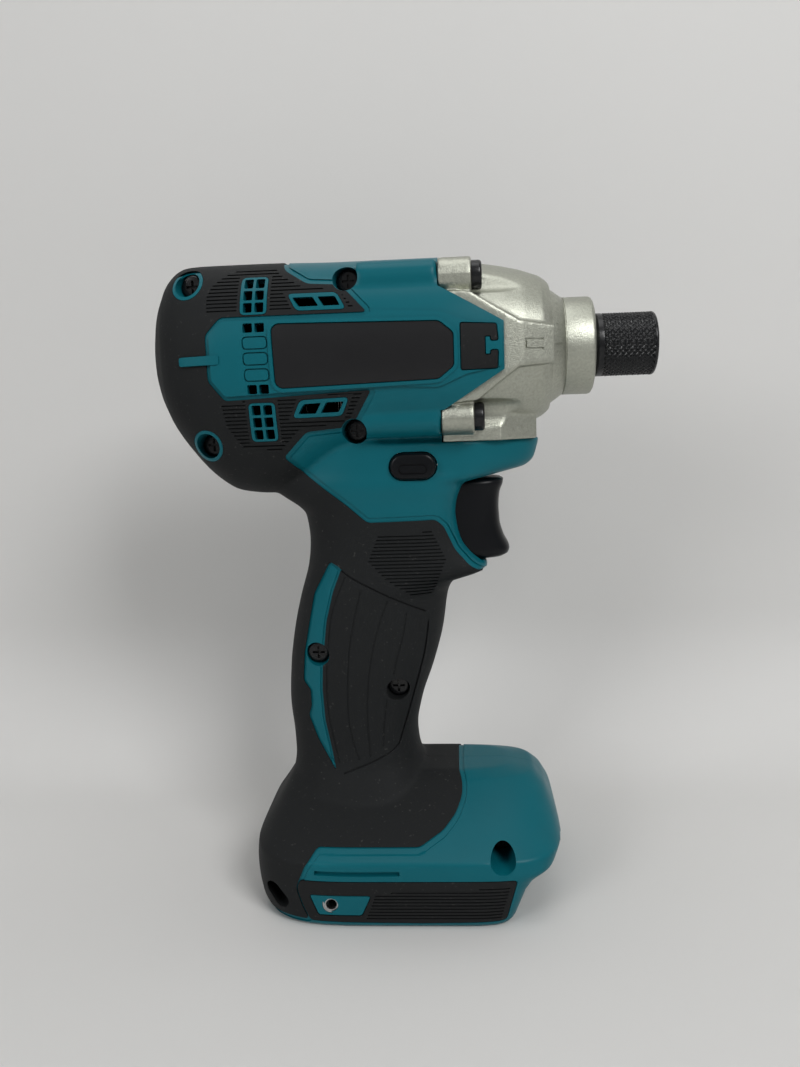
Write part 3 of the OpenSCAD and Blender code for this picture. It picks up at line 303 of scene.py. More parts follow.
def turnedProfile(bm, profile, sides=96, closed=True):
    # profile of (radius, x) spun round the drive axis
    verts = [bm.verts.new((x, 0, r)) for r, x in profile]
    edges = [bm.edges.new(pair) for pair in zip(verts, verts[1:])]
    if closed:
        edges.append(bm.edges.new((verts[-1], verts[0])))
    bmesh.ops.spin(bm, geom=verts + edges, cent=(0, 0, 0), axis=(1, 0, 0), angle=2 * math.pi, steps=sides,
                   use_merge=True)
    bmesh.ops.remove_doubles(bm, verts=bm.verts, dist=0.001)
    bmesh.ops.translate(bm, vec=(0, 0, axisZ), verts=bm.verts)


def turnedPiece(name, profile, sides=96, closed=True):
    bm = bmesh.new()
    turnedProfile(bm, profile, sides, closed)
    return newPiece(name, bm)


def softEdges(piece, width, angle=40, segments=2):
    bevel = piece.modifiers.new("soft edges", "BEVEL")
    bevel.width = width * mm
    bevel.segments = segments
    bevel.limit_method = "ANGLE"
    bevel.angle_limit = math.radians(angle)
    bevel.harden_normals = False
    bake(piece)


def curvePoints(points, step):
    # smooth run through a few places
    out = []
    count = len(points)
    for i in range(count - 1):
        a, b, c, d = (Vector(points[min(max(i + k, 0), count - 1)]) for k in (-1, 0, 1, 2))
        n = max(2, round((c - b).length / step))
        for k in range(n):
            t = k / n
            out.append(0.5 * (2 * b + (c - a) * t + (2 * a - 5 * b + 4 * c - d) * t * t
                              + (3 * b - a - 3 * c + d) * t ** 3))
    out.append(Vector(points[-1]))
    return out


headForm = {
    "power": 2.4, "dome": 27.5, "domeInset": 0.85,
    "rows": [  # place, half width, top, depth below the axis
        (rearX + 2.7, 6.5, headTop - 21.5, 8.4), (rearX + 4, 12.5, headTop - 16.2, 11.6),
        (rearX + 6.3, 18.5, headTop - 9, 17), (rearX + 9.2, 23.2, headTop - 3.6, 22.9),
        (rearX + 13.8, 26.8, headTop - 0.3, 29.6), (rearX + 20, 28.8, headTop, 36.8),
        (rearX + 27, 29.5, headTop, 41.2), (rearX + 36, 29.5, headTop, 42.2),
        (rearX + 46, 29.5, headTop - 0.1, 39.7), (rearX + 59.5, 29.5, headTop - 0.4, 32),
        (rearX + 72, 29.5, headTop - 0.4, 28.8), (jointX, 29.5, headTop - 0.4, 28),
        (jointX + 19, 28.6, headTop - 1.5, 27)],
}
handleForm = {
    "power": 2.3, "cheek": 2.0, "cheekFrom": 75, "cheekTo": 36, "cheekFade": (8, 6),
    "rows": [  # height, back, front, half width, widest place
        (31.4, -42.2, 8.6, 22.5, -14), (37, -39.7, 4.5, 20, -14), (42.6, -38.9, 2.3, 17.9, -14),
        (49.4, -39.1, 1.7, 17.2, -14), (60, -39.9, 3.7, 17.1, -14), (71, -39.2, 7.6, 17.4, -14),
        (83, -37.4, 11, 17.6, -14), (95, -34.5, 13, 17.6, -14), (99.5, -33.1, 15.4, 17.6, -12.2),
        (101.4, -32.5, 22, 17.5, -11.4), (103, -32, 25.8, 17.5, -10.8), (104.8, -31.6, 25.7, 17.5, -10.1),
        (107.7, -31.1, 21.9, 17.5, -9), (113, -30.7, 17.9, 17.6, -8), (121.6, -31.8, 16.4, 18, -8),
        (126, -37.6, 17.2, 18.4, -8), (130, -42, 19.4, 19, -8), (132.1, -42, 29.3, 18.9, -8),
        (134, -42, 38, 18.6, -8), (137, -42, 41.1, 18.4, -8), (143, -42, 42.6, 18.2, -8)],
}
footForm = {
    "power": 4.2,
    "rows": [  # height, back, front, half width, squareness of the front
        (0, -45.6, 31, footHalf - 2.2, 9), (1.5, -47.3, 31.8, footHalf - 0.9, 9),
        (5, -49, 33.2, footHalf - 0.5, 9), (10, -49.8, 35.2, footHalf - 0.25, 9),
        (13.5, -50, 38.2, footHalf - 0.1, 8), (16.3, -50, 43.6, footHalf, 7),
        (21, -49.5, 46.5, footHalf, 5), (26.1, -46.1, 45.3, footHalf - 8.25, 4.2),
        (32.2, -42.2, 42.4, footHalf - 18.15, 4.2), (36.3, -39.8, 38.8, footHalf - 24.75, 4.2),
        (38, -39, 30, footHalf - 28.6, 4.2)],
    "widest": -4,
    "crease": 21,
    "top": 38,
}
tubes = {"radius": 5.2, "offset": 20, "back": jointX - 23, "bore": jointX - 20, "boreRadius": 2.4}  # case screws
tubePlaces = [(side * tubes["offset"], axisZ + level * tubes["offset"]) for side in (-1, 1) for level in (-1, 1)]
wall = {"inset": 2.9, "slotTop": 14.0, "ceiling": 17.4}
formMesh = {"sides": 120, "step": 2.0, "voxel": 0.7, "rounds": 5, "hollowSides": 48, "hollowStep": 4.0}


def cheekPower(z):
    # the front is squarer beside the trigger
    depth = axisZ - z
    below, above = handleForm["cheekFade"]
    share = min(1, (handleForm["cheekFrom"] - depth) / below, (depth - handleForm["cheekTo"]) / above)
    return handleForm["power"] + handleForm["cheek"] * max(0, share)


def wholeForm(name, inset, count, step):
    rings = []
    for x, half, up, down in eased(headForm["rows"], step):
        domed = max(0, min(1, (rearX + headForm["dome"] - x) / headForm["dome"]))
        rings.append([(x + headForm["domeInset"] * inset * domed, y, axisZ + z) for y, z in
                      section(half - inset, half - inset, up - inset, down - inset,
                              headForm["power"], headForm["power"], count)])
    form = lofted(name, rings)
    rings = []
    for z, back, front, half, widest in eased(handleForm["rows"], step):
        rings.append([(widest + x, y, z) for x, y in
                      section(front - widest - inset, widest - back - inset, half - inset, half - inset,
                              handleForm["power"], cheekPower(z), count)])
    carve(form, lofted("handleLoft", rings), "UNION")
    rings = []
    for z, back, front, half, square in footForm["rows"]:
        widest = footForm["widest"]
        sunk = inset * max(0, (z - footForm["crease"]) / (footForm["top"] - footForm["crease"]))
        rings.append([(widest + x, y, z - sunk) for x, y in
                      section(front - widest - inset, widest - back - inset, half - inset, half - inset,
                              footForm["power"], square, count)])
    carve(form, lofted("footLoft", rings), "UNION")
    return form


form = wholeForm("form", 0, formMesh["sides"], formMesh["step"])
for y, z in tubePlaces:
    carve(form, rod("tube", (tubes["back"], y, z), (jointX, y, z), tubes["radius"]), "UNION")
remesh(form, formMesh["voxel"], formMesh["rounds"])
hollow = wholeForm("hollow", wall["inset"], formMesh["hollowSides"], formMesh["hollowStep"])
carve(hollow, block("aboveSlot", (-90, -60, wall["ceiling"]), (90, 60, 260)), "INTERSECT")
print("outside form:", len(form.data.polygons), "faces")

seam = -0.06  # each half stops this far from the middle plane
heights = {"border": 0.9, "raised": 0.5, "plate": 0.4, "rim": 0.15, "skin": 0.0, "panel": -0.1, "crease": -0.22,
           "ledge": -0.45, "groove": -0.5, "pocket": -0.8, "under": -1.4}
surfaces = {}
for name, offset in heights.items():
    surfaces[name] = duplicate(form, name + "Surface")
    swell(surfaces[name], offset)


def layer(name, outlines, top, bottom=None):
    # what lies inside the outlines between two of the surfaces, on the right side
    piece = duplicate(surfaces[top], name)
    carve(piece, prisms("outlineCut", outlines), "INTERSECT")
    if bottom:
        carve(piece, surfaces[bottom], keep=True)
    return piece


def trench(outlines, bottom):
    # cutter over the outlines that stops at one of the surfaces
    cutter = prisms("trench", outlines)
    carve(cutter, surfaces[bottom], keep=True)
    return cutter


def ribbon(points, width):
    # outline of a narrow strip along a smooth line
    run = curvePoints(points, 2.0)
    left, right = [], []
    for i, point in enumerate(run):
        along = (run[min(i + 1, len(run) - 1)] - run[max(i - 1, 0)]).normalized()
        across = Vector((-along.y, along.x)) * width / 2
        left.append(tuple(point + across))
        right.append(tuple(point - across))
    return left + right[::-1]


def pill(x, z, width, height, sides=10):
    # outline with two round ends
    r = min(width, height) / 2
    reach = max(width, height) / 2 - r
    points = []
    for end in (1, -1):
        for k in range(sides + 1):
            angle = math.pi * (k / sides - 0.5) + (0 if end > 0 else math.pi)
            u, v = r * math.cos(angle) + end * reach, r * math.sin(angle)
            points.append((x + u, z + v) if width >= height else (x - v, z + u))
    return points


def rectangle(x, z, wide, high):
    return [(x - wide / 2, z - high / 2), (x + wide / 2, z - high / 2), (x + wide / 2, z + high / 2),
            (x - wide / 2, z + high / 2)]


def slits(zone, pitch, width):
    # level slits over a zone, each a bar with round ends inside the zone
    out = []
    lows, highs = min(p[1] for p in zone), max(p[1] for p in zone)
    count = int((highs - lows) / pitch)
    for i in range(count + 1):
        z = lows + (highs - lows - count * pitch) / 2 + i * pitch
        places = sorted(a[0] + (b[0] - a[0]) * (z - a[1]) / (b[1] - a[1])
                        for a, b in zip(zone, zone[1:] + zone[:1]) if (a[1] > z) != (b[1] > z))
        for start, end in zip(places[::2], places[1::2]):
            if end - start > 3 * width:
                out.append(pill((start + end) / 2, z, end - start, width, 3))
    return out


gripRubber = {
    "outline": [(rearX - 5, 203), (-36.5, 203), (-31.5, 193.8), (-24.5, 189.2), (-16.5, 188.6), (-13.5, 187),
                (-7.4, 180.4), (-49, 180.4), (-53.4, 175.6), (-53.4, 162.6), (-49, 157), (-7, 158.7),
                (-12.3, 150.1), (-16, 148.2), (-26.5, 147.4), (-34, 140), (-28.8, 134.3), (-17.1, 125),
                (-10.6, 119.3), (9.8, 119.6), (12.2, 117.4), (15.5, 110), (19.8, 105), (24, 102.2), (40, 101),
                (40, 52), (11.8, 43), (14.2, 38.8), (15.8, 36), (15.7, 33.4), (13.6, 30), (9.8, 27), (2.7, 24),
                (-28, 24), (-31.5, 20), (-34.6, 12.6), (-33, 7), (-31.2, 2.7), (-38, 2.9), (rearX, 3)],
    "corner": 1.2,
    "strip": [(-22.9, 107.1), (-19.5, 105.2), (-22.4, 98), (-24.8, 89), (-26.6, 76), (-27.2, 67), (-26.8, 57),
              (-23.8, 41), (-29.3, 50.4), (-32.1, 57.7), (-31, 60.6), (-31, 66.2), (-33.4, 68.8), (-32.6, 78),
              (-28.5, 97)],
    "upperRibs": [(-52.9, 181.7), (-53.1, 186.4), (-51.8, 189.6), (-48.8, 192.6), (-45, 194.4), (-34, 194.4),
                  (-32.4, 192.2), (-25.2, 188.0), (-17.2, 187.3), (-14.6, 186.0), (-10.8, 181.7)],
    "lowerRibs": [(-50.2, 156.4), (-49.2, 149.8), (-45.2, 143.4), (-34.4, 142.2), (-28, 148.6), (-16.6, 149.4),
                  (-13.4, 151.2), (-9.4, 158.2)],
    "palmRibs": [(-7.5, 115.6), (8.7, 116.1), (12.7, 107.5), (9.4, 98.9), (7.5, 95.9), (3, 95.4), (-5.9, 101.8),
                 (-10.9, 107.4)],
    "ribPitch": 1.08, "ribWidth": 0.4,
    "lines": [[(-19.7, 105), (-15.2, 101.8), (-1.7, 94.6), (5.8, 90.7)],
              [(6.6, 87.2), (5.1, 77.8), (2, 66.6), (-2.6, 52.1), (-5.9, 46.6), (-21.1, 40.1)]],
    "lineWidth": 0.55,
    "creases": [[(-13.5, 98.7), (-16, 89.2), (-17.9, 79.4), (-18.9, 68.2), (-19.1, 58.1), (-18.1, 50.8),
                 (-16.2, 44.4)],
                [(-5.6, 94.9), (-8.7, 86.7), (-11.4, 76.1), (-12.8, 65.7), (-13.2, 56.6), (-12.7, 45.2)],
                [(0, 90.8), (-1.1, 84.6), (-3.6, 75.7), (-4.6, 71.4)], [(-7, 63.4), (-8.1, 56.3), (-8.7, 48.4)],
                [(-18.2, 102.6), (-21.4, 95.2), (-23.4, 88.6), (-25, 76), (-25.6, 67), (-25.2, 57.2),
                 (-22.6, 43.4)]],
    "creaseWidth": 0.5,
}
vents = {
    "grids": [(-39.4, 186.3), (-38.4, 150.6)],
    "spacing": (3.3, 3.5), "window": (2.55, 2.8), "gridFrame": (7.6, 11), "depth": -18,
    "frames": [[(-29.8, 186.3), (-15.9, 186.3), (-13.2, 181.4), (-27.2, 181.4)],
               [(-27.4, 156.5), (-13.4, 156.9), (-15.8, 151.7), (-29.8, 151.5)]],
    "slanted": [[(-28.4, 185.2), (-22.6, 185.2), (-20.9, 182.5), (-26.6, 182.5)],
                [(-21.2, 185.2), (-16.3, 185.2), (-14.8, 182.5), (-19.6, 182.5)],
                [(-26.4, 155.4), (-21.4, 155.6), (-23.2, 152.6), (-28.2, 152.6)],
                [(-20, 155.7), (-14.9, 155.8), (-16.6, 152.8), (-21.8, 152.7)]],
    "small": [(-41, 177.1), (-37.6, 177.1), (-40.6, 160), (-37.2, 160)], "smallWindow": (2.75, 2.6),
}
screwHoles = {
    "places": [  # along, height, how far out the head's seat is
        (-59.6, 190.6, 13.2), (-56.1, 144.1, 13.5), (-13.6, 190.4, 12), (-12.8, 146.9, 11.8), (-28.2, 78, 9.8),
        (27.2, 21, 21.5), (-3.4, 66.4, 8.8)],
    "radius": 3.75, "rim": 4.7, "rimInward": -4, "boss": 5.6, "bossInward": 2,
    "lining": 4.4, "linedRadius": 3.6, "linedInward": 1, "rimmed": 2, "lined": 1,  # first two rimmed, last one lined
}
sidePanel = {
    "plateau": [(-52.2, 175.2), (-48.4, 179.2), (-7.6, 179.2), (-5.6, 180.8), (13.5, 179.6), (20, 176.9),
                (30.2, 175.2), (30.2, 164.2), (20, 162.2), (12.4, 158.9), (-6.4, 159.8), (-48.4, 158.2),
                (-52.2, 162.8)],
    "plate": [(-32.7, 177.8), (12.6, 176.9), (16.5, 173.7), (16.5, 164.6), (12.2, 161.2), (-32.4, 160.1),
              (-33.8, 161.4), (-34.2, 176.6)],
    "rim": 0.9,
    "blankPads": [(-39.1, 172.9), (-39.1, 168.5), (-39, 164)], "padSize": (6.6, 3.0),
    "tab": [(-61.4, 167.1), (-49.6, 167.3), (-49.6, 169.9), (-61.4, 169.6)],
    "sidePad": [(18.7, 176.1), (28.5, 175.6), (28.9, 171.2), (27, 171.2), (27, 172.4), (25.3, 172.4),
                (25.3, 167.2), (27, 167.2), (27, 168.4), (28.9, 168.4), (28.7, 163.6), (18.7, 163.4)],
}
corners = {"strip": 1.0, "frame": 1.4, "window": 0.45, "tab": 0.7, "tabRoom": 0.8, "plate": 1.0, "pad": 0.5,
           "inlay": 1.2, "hook": 0.8, "plateau": 1.0, "blankPad": 1.2, "blankPadRoom": 1.3}
gaps = {"strip": 0.15, "tab": 0.15, "frame": 0.12, "ribs": 0.9, "ledge": 1.5, "pocket": -0.25, "stripBed": 0.4,
        "stripPanel": -0.7, "plateRim": 0.35, "plateHole": 0.3, "blankPad": 0.35, "case": 0.25, "joint": 0.1,
        "strapShell": 0.7, "strapRubber": 0.3, "strapLining": 0.65, "triggerSide": 0.35, "triggerEnd": 0.4,
        "triggerBack": 8, "plate": 0.2, "pad": 0.3, "inlay": 0.25, "hookPlate": 0.3, "hookHole": 0.4, "nut": 0.1,
        "rim": 0.12, "screw": 0.1, "lining": 0.05}
frontLimit = [(rearX - 5, -5), (frontX, -5), (frontX, 142.6), (jointX, 142.6), (jointX, axisZ - 18.3),
              (jointX + 18.2, axisZ - 6.8), (jointX + 18.2, axisZ + 6.4), (jointX, axisZ + 17),
              (jointX, topZ + 10), (rearX - 5, topZ + 10)]
everything = [(-150, -20), (150, -20), (150, 260), (-150, 260)]
rubberOutline = rounded(gripRubber["outline"], gripRubber["corner"])
stripOutline = rounded(gripRubber["strip"], corners["strip"])
frameCorners = [rectangle(x, z, *vents["gridFrame"]) for x, z in vents["grids"]] + vents["frames"]
ventFrames = [rounded(outline, corners["frame"]) for outline in frameCorners]
across, apart = vents["spacing"]
windowCorners = [rectangle(x + column * across, z + row * apart, *vents["window"])
                 for x, z in vents["grids"] for column in (-0.5, 0.5) for row in (-1, 0, 1)]
windowCorners += vents["slanted"] + [rectangle(x, z, *vents["smallWindow"]) for x, z in vents["small"]]
windows = [rounded(outline, corners["window"]) for outline in windowCorners]
rimmedScrews = screwHoles["places"][:screwHoles["rimmed"]]
plainScrews = screwHoles["places"][:-screwHoles["lined"]]
linedScrews = screwHoles["places"][-screwHoles["lined"]:]


def screwRods(name, radius, places=screwHoles["places"], inward=0.0, sides=36):
    return [rod(name, (x, beside, z), (x, -seat + inward, z), radius, sides) for x, z, seat in places]


rubber = layer("gripRubberRight", [rubberOutline], "skin")
carve(rubber, prism("strip", grown(stripOutline, gaps["strip"])))
carve(rubber, prisms("frames", [grown(outline, gaps["frame"]) for outline in ventFrames]))
carve(rubber, prism("tab", rounded(grown(sidePanel["tab"], gaps["tab"]), corners["tabRoom"])))
blocked = [grown(outline, gaps["ribs"]) for outline in frameCorners]
for zone in ("upperRibs", "lowerRibs", "palmRibs"):
    comb = trench(slits(gripRubber[zone], gripRubber["ribPitch"], gripRubber["ribWidth"]), "groove")
    carve(comb, prisms("frameGuard", blocked))
    carve(rubber, comb)
for line in gripRubber["lines"]:
    carve(rubber, trench([ribbon(line, gripRubber["lineWidth"])], "groove"))
for line in gripRubber["creases"]:
    carve(rubber, trench([ribbon(line, gripRubber["creaseWidth"])], "crease"))
carve(rubber, surfaces["under"], keep=True)
print("grip rubber:", len(rubber.data.polygons), "faces")

housing = {
    "slot": {"back": -36, "half": 33, "railHalf": 28.5, "railLow": 1, "railHigh": 5, "top": wall["slotTop"]},
    "strapHole": [(-42.2, 10.3), (-39.6, 7.4)], "strapRadius": 2.4,
    "lampRadius": 3.1,
    "leverGap": 0.4,
    "footLine": [(-28.7, 18), (-16, 17.9), (-3.3, 18)], "footLineWidth": 1.4,
    "inlay": [(-33.2, 15.3), (31.2, 15.3), (30.2, 11.5), (27.8, 2.4), (3.4, 2), (-30.6, 2.4), (-32.5, 7),
              (-34.2, 12.6)],
    "hookPlate": [(-30.3, 10.8), (-12.2, 10.8), (-15, 4.6), (-27.9, 4.6)],
    "hookHole": (-24, 7.9, 1.65), "hookHoleEnd": 33,
}
hookNut = {"face": 38.4, "back": 33.5, "radius": 2.65, "edge": 0.25, "faceRoom": 0.2}
leverMiddle = ((leverLow.x + leverHigh.x) / 2, (leverLow.z + leverHigh.z) / 2)
leverSize = (leverHigh.x - leverLow.x, leverHigh.z - leverLow.z)
lampZ = (lensLow.z + lensHigh.z) / 2
caseRadius = 25.8
plateOutline = rounded(sidePanel["plate"], corners["plate"])
padOutline = rounded(sidePanel["sidePad"], corners["pad"])
inlayOutline = rounded(housing["inlay"], corners["inlay"])
hookOutline = rounded(housing["hookPlate"], corners["hook"])

shell = layer("housingRight", [everything], "ledge")
panel = layer("panel", [everything], "panel")
carve(panel, prism("ledgeRun", grown(rubberOutline, gaps["ledge"])))
carve(shell, panel, "UNION")
carve(shell, trench([grown(rubberOutline, gaps["pocket"])], "pocket"))
for name, outlines, top in (("stripBed", [grown(stripOutline, gaps["stripBed"])], "ledge"),
                            ("plateau", [rounded(sidePanel["plateau"], corners["plateau"])], "raised"),
                            ("stripPanel", [grown(stripOutline, gaps["stripPanel"])], "panel"),
                            ("ventFrames", ventFrames, "rim"),
                            ("tab", [rounded(sidePanel["tab"], corners["tab"])], "border")):
    carve(shell, layer(name, outlines, top, "under"), "UNION")
ring = layer("plateRim", [grown(plateOutline, gaps["plateRim"] + sidePanel["rim"])], "border", "pocket")
carve(ring, prism("plateHole", grown(plateOutline, gaps["plateHole"])))
carve(shell, ring, "UNION")
for x, z in sidePanel["blankPads"]:
    outline = rectangle(x, z, *sidePanel["padSize"])
    carve(shell, trench([rounded(grown(outline, gaps["blankPad"]), corners["blankPadRoom"])], "panel"))
    carve(shell, layer("blankPad", [rounded(outline, corners["blankPad"])], "raised", "under"), "UNION")
carve(shell, hollow, keep=True)
for cutter in screwRods("boss", screwHoles["boss"], inward=screwHoles["bossInward"]):
    carve(cutter, surfaces["under"], "INTERSECT", keep=True)
    carve(shell, cutter, "UNION")
carve(shell, prism("frontLimit", frontLimit), "INTERSECT")
carve(shell, rod("caseRoom", (jointX - gaps["joint"], 0, axisZ), (frontX, 0, axisZ), caseRadius + gaps["case"], 96))
for y, z in tubePlaces[:2]:  # those on the right
    carve(shell, rod("bossRoom", (jointX - gaps["joint"] / 2, y, z), (frontX, y, z), tubes["radius"] + gaps["case"]))
    carve(shell, rod("screwRoom", (tubes["bore"], y, z), (frontX, y, z), tubes["boreRadius"], 24))
slot = housing["slot"]
for low, high, half in ((slot["railHigh"], slot["top"], slot["half"]), (-5, slot["top"], slot["railHalf"]),
                        (-5, slot["railLow"], slot["half"])):
    carve(shell, block("slot", (slot["back"], -half, low), (90, 5, high)))
(x, z), (u, v) = housing["strapHole"]
along = Vector((u - x, v - z)).normalized()
tilt = math.atan2(along.y, along.x)
strap = pill(0, 0, Vector((u - x, v - z)).length + 2 * housing["strapRadius"], 2 * housing["strapRadius"])
strap = [((x + u) / 2 + px * math.cos(tilt) - pz * math.sin(tilt),
          (z + v) / 2 + px * math.sin(tilt) + pz * math.cos(tilt)) for px, pz in strap]
carve(shell, prism("strapRoom", grown(strap, gaps["strapShell"]), high=past))
carve(rubber, prism("strapRoom", grown(strap, gaps["strapRubber"]), high=past))
lining = layer("strapLining", [grown(strap, gaps["strapLining"])], "skin")
carve(lining, prism("strapHole", strap, high=past))
carve(rubber, lining, "UNION")
carve(shell, prisms("windows", windows, high=vents["depth"]))
low = (triggerLow.x - gaps["triggerBack"], triggerLow.y - gaps["triggerSide"], triggerLow.z - gaps["triggerEnd"])
for piece in (shell, rubber):
    carve(piece, block("triggerRoom", low, (60, past, triggerHigh.z + gaps["triggerEnd"])))
carve(shell, prism("leverHole", pill(*leverMiddle, leverSize[0] + 2 * housing["leverGap"],
                                     leverSize[1] + 2 * housing["leverGap"]), high=past))
carve(shell, rod("lampHole", (20, 0, lampZ), (60, 0, lampZ), housing["lampRadius"]))
carve(shell, trench([grown(plateOutline, gaps["plate"])], "pocket"))
carve(shell, trench([grown(padOutline, gaps["pad"])], "pocket"))
inlayRoom = trench([grown(inlayOutline, gaps["inlay"])], "pocket")
carve(inlayRoom, prism("hookPlate", hookOutline))
carve(shell, inlayRoom)
x, z, r = housing["hookHole"]
end = -housing["hookHoleEnd"]
carve(shell, rod("hookHole", (x, beside, z), (x, end, z), r + gaps["hookHole"], 32))
carve(shell, rod("nutRoom", (x, -hookNut["face"] - hookNut["faceRoom"], z), (x, end, z),
                 hookNut["radius"] + gaps["nut"], 32))
carve(shell, trench([ribbon(housing["footLine"], housing["footLineWidth"])], "under"))
for piece in (shell, rubber):
    carve(piece, block("seamCut", (-150, seam, -20), (150, 20, 260)))
housingLeft = mirrored(shell, "housingLeft")
rubberLeft = mirrored(rubber, "gripRubberLeft")
# the recesses are the right half's own
for cutter in screwRods("rimRing", screwHoles["rim"], rimmedScrews, screwHoles["rimInward"]):
    carve(cutter, surfaces["skin"], "INTERSECT", keep=True)
    carve(shell, cutter, "UNION")
for cutter in (screwRods("recess", screwHoles["radius"], plainScrews)
               + screwRods("linedRecess", screwHoles["lining"] + gaps["lining"], linedScrews)):
    carve(shell, cutter)
for cutter in (screwRods("rimHole", screwHoles["rim"] + gaps["rim"], rimmedScrews)
               + screwRods("screwHole", screwHoles["radius"] + gaps["screw"], plainScrews[screwHoles["rimmed"]:])):
    carve(rubber, cutter)
for cutter in screwRods("lining", screwHoles["lining"], linedScrews):
    carve(cutter, surfaces["skin"], "INTERSECT", keep=True)
    carve(rubber, cutter, "UNION")
for cutter in screwRods("linedHole", screwHoles["linedRadius"], linedScrews, screwHoles["linedInward"]):
    carve(rubber, cutter)
for piece in (shell, rubber, housingLeft, rubberLeft):
    smooth(piece)
print("housing:", len(shell.data.polygons), "faces")

inlay = {"slits": [(-13.8, 3.2), (26.4, 3.2), (29.2, 13.4), (-10.4, 11.8)], "pitch": 1.05, "width": 0.42,
         "edge": 0.12}
sidePlate = layer("sidePlateRight", [plateOutline], "plate", "pocket")
sidePad = layer("sidePadRight", [padOutline], "raised", "pocket")
footInlay = layer("footInlayRight", [inlayOutline], "skin", "pocket")
carve(footInlay, prism("hookPlate", grown(hookOutline, gaps["hookPlate"])))
carve(footInlay, trench(slits(inlay["slits"], inlay["pitch"], inlay["width"]), "groove"))
for piece, left in ((sidePlate, "sidePlateLeft"), (sidePad, "sidePadLeft"), (footInlay, "footInlayLeft")):
    softEdges(piece, inlay["edge"], 60, 1)
    smooth(piece)
    smooth(mirrored(piece, left))
print("plates, pads and inlays done")

hammerCase = {
    "outside": [(25.8, 0), (25.8, 7.5), (25.6, 12.5), (24.6, 18.5), (23.2, 24.5), (21.3, 30), (20, 31.9),
                (18.6, 33.2), (17, 33.6), (14, 37), (14, 45.2)],
    "inside": [(8.8, 43.4), (10.4, 43.4), (10.4, 31.8), (19.4, 31.8), (19.4, 26), (21.2, 24.2),
               (22.2, 17), (22.2, -8.2)],
    "nose": [(17.6, 32.7), (14.75, 36.8), (14.4, 37), (14.4, 37.15), (14.65, 37.3), (14.65, 44.8), (14.4, 45.5),
             (13.8, 45.9)],
    "noseInside": [(8.6, 45.9), (8.6, 44.2), (12, 43), (12, 32.7)],
    "spigot": 23.9, "bossFront": 9.7, "sides": 128, "voxel": 0.4, "rounds": 6,
    "spineCore": 19.6, "bossCore": 22.4, "troughCore": 22.9, "troughRoom": 0.8, "troughEnd": 27,
    "spineSide": [(2.4, 15.5), (9.1, 15.1), (15, 11.4), (22.8, 6.7), (33.4, 5.2), (33.4, -5.4), (22.6, -6.2),
                  (16, -11), (10.6, -15.2), (2.8, -15.9)],
    "spinePlan": [(2, 25.5), (18.7, 26.0), (23.5, 25.4), (33.4, 21.2)],
    "flange": [(0.3, 17), (17.5, 16), (28.6, 9)], "flangeLow": -27.3, "flangeHigh": -18.6,
    "mark": [(29.6, 1.6), (24.2, 1.6), (24.2, -1.6), (29.6, -1.6), (29.6, -1), (24.8, -1), (24.8, 1), (29.6, 1)],
    "markDepth": 0.5,
}
caseScrew = {"head": 4.1, "height": 2.9, "shank": 2.1, "socket": 2.4, "depth": 1.5, "long": 26}




def fromJoint(profile):
    return [(r, jointX + x) for r, x in profile]


def casePlan(name, low, high):
    # half plan outline mirrored to both sides
    plan = [(jointX + x, y) for x, y in hammerCase[name]]
    return planPrism(name, plan + [(x, -y) for x, y in plan[::-1]], axisZ + low, axisZ + high)


def caseSide(name):
    return prism(name, [(jointX + x, axisZ + z) for x, z in hammerCase[name]], -40, 40)


def caseCore(radius):
    # room that the added forms leave round the drive
    return rod("core", (jointX - 20, 0, axisZ), (jointX + 60, 0, axisZ), radius, 64)


turned = hammerCase["sides"]
profile = [(0, caseLow.x), (hammerCase["spigot"], caseLow.x), (hammerCase["spigot"], jointX)]
profile += fromJoint(hammerCase["outside"])
profile.append((0, profile[-1][1]))
castCase = turnedPiece("hammerCase", profile, turned, closed=False)  # solid until its inside is turned out
spine = caseSide("spineSide")
carve(spine, casePlan("spinePlan", -30, 30), "INTERSECT")
carve(spine, caseCore(hammerCase["spineCore"]))
carve(castCase, spine, "UNION")
flange = casePlan("flange", hammerCase["flangeLow"], hammerCase["flangeHigh"])
carve(flange, caseCore(hammerCase["bossCore"]))
carve(castCase, flange, "UNION")
bossEnd = jointX + hammerCase["bossFront"]
for y, z in tubePlaces:
    stub = rod("stub", (jointX + gaps["joint"], y, z), (bossEnd, y, z), tubes["radius"])
    carve(stub, caseCore(hammerCase["bossCore"]))
    carve(castCase, stub, "UNION")
for y, z in tubePlaces:
    trough = rod("trough", (bossEnd - gaps["joint"], y, z), (jointX + hammerCase["troughEnd"], y, z),
                 caseScrew["head"] + hammerCase["troughRoom"])
    carve(trough, caseCore(hammerCase["troughCore"]))
    carve(castCase, trough)
remesh(castCase, hammerCase["voxel"], hammerCase["rounds"])
nose = fromJoint(hammerCase["nose"])
carve(castCase, turnedPiece("noseRoom", nose + [(nose[-1][0], frontX), (40, frontX), (40, nose[0][1])], turned))
carve(castCase, turnedPiece("nose", nose + fromJoint(hammerCase["noseInside"]), turned), "UNION")
inside = fromJoint(hammerCase["inside"])
inside = [(0, frontX), (inside[0][0], frontX)] + inside + [(inside[-1][0], rearX), (0, rearX)]
carve(castCase, turnedPiece("caseInside", inside, turned, closed=False))
mark = caseSide("mark")
sunk = duplicate(castCase, "sunk")
swell(sunk, -hammerCase["markDepth"])
carve(mark, sunk)
carve(castCase, mark)
smooth(castCase, 42)
print("hammer case:", len(castCase.data.polygons), "faces")

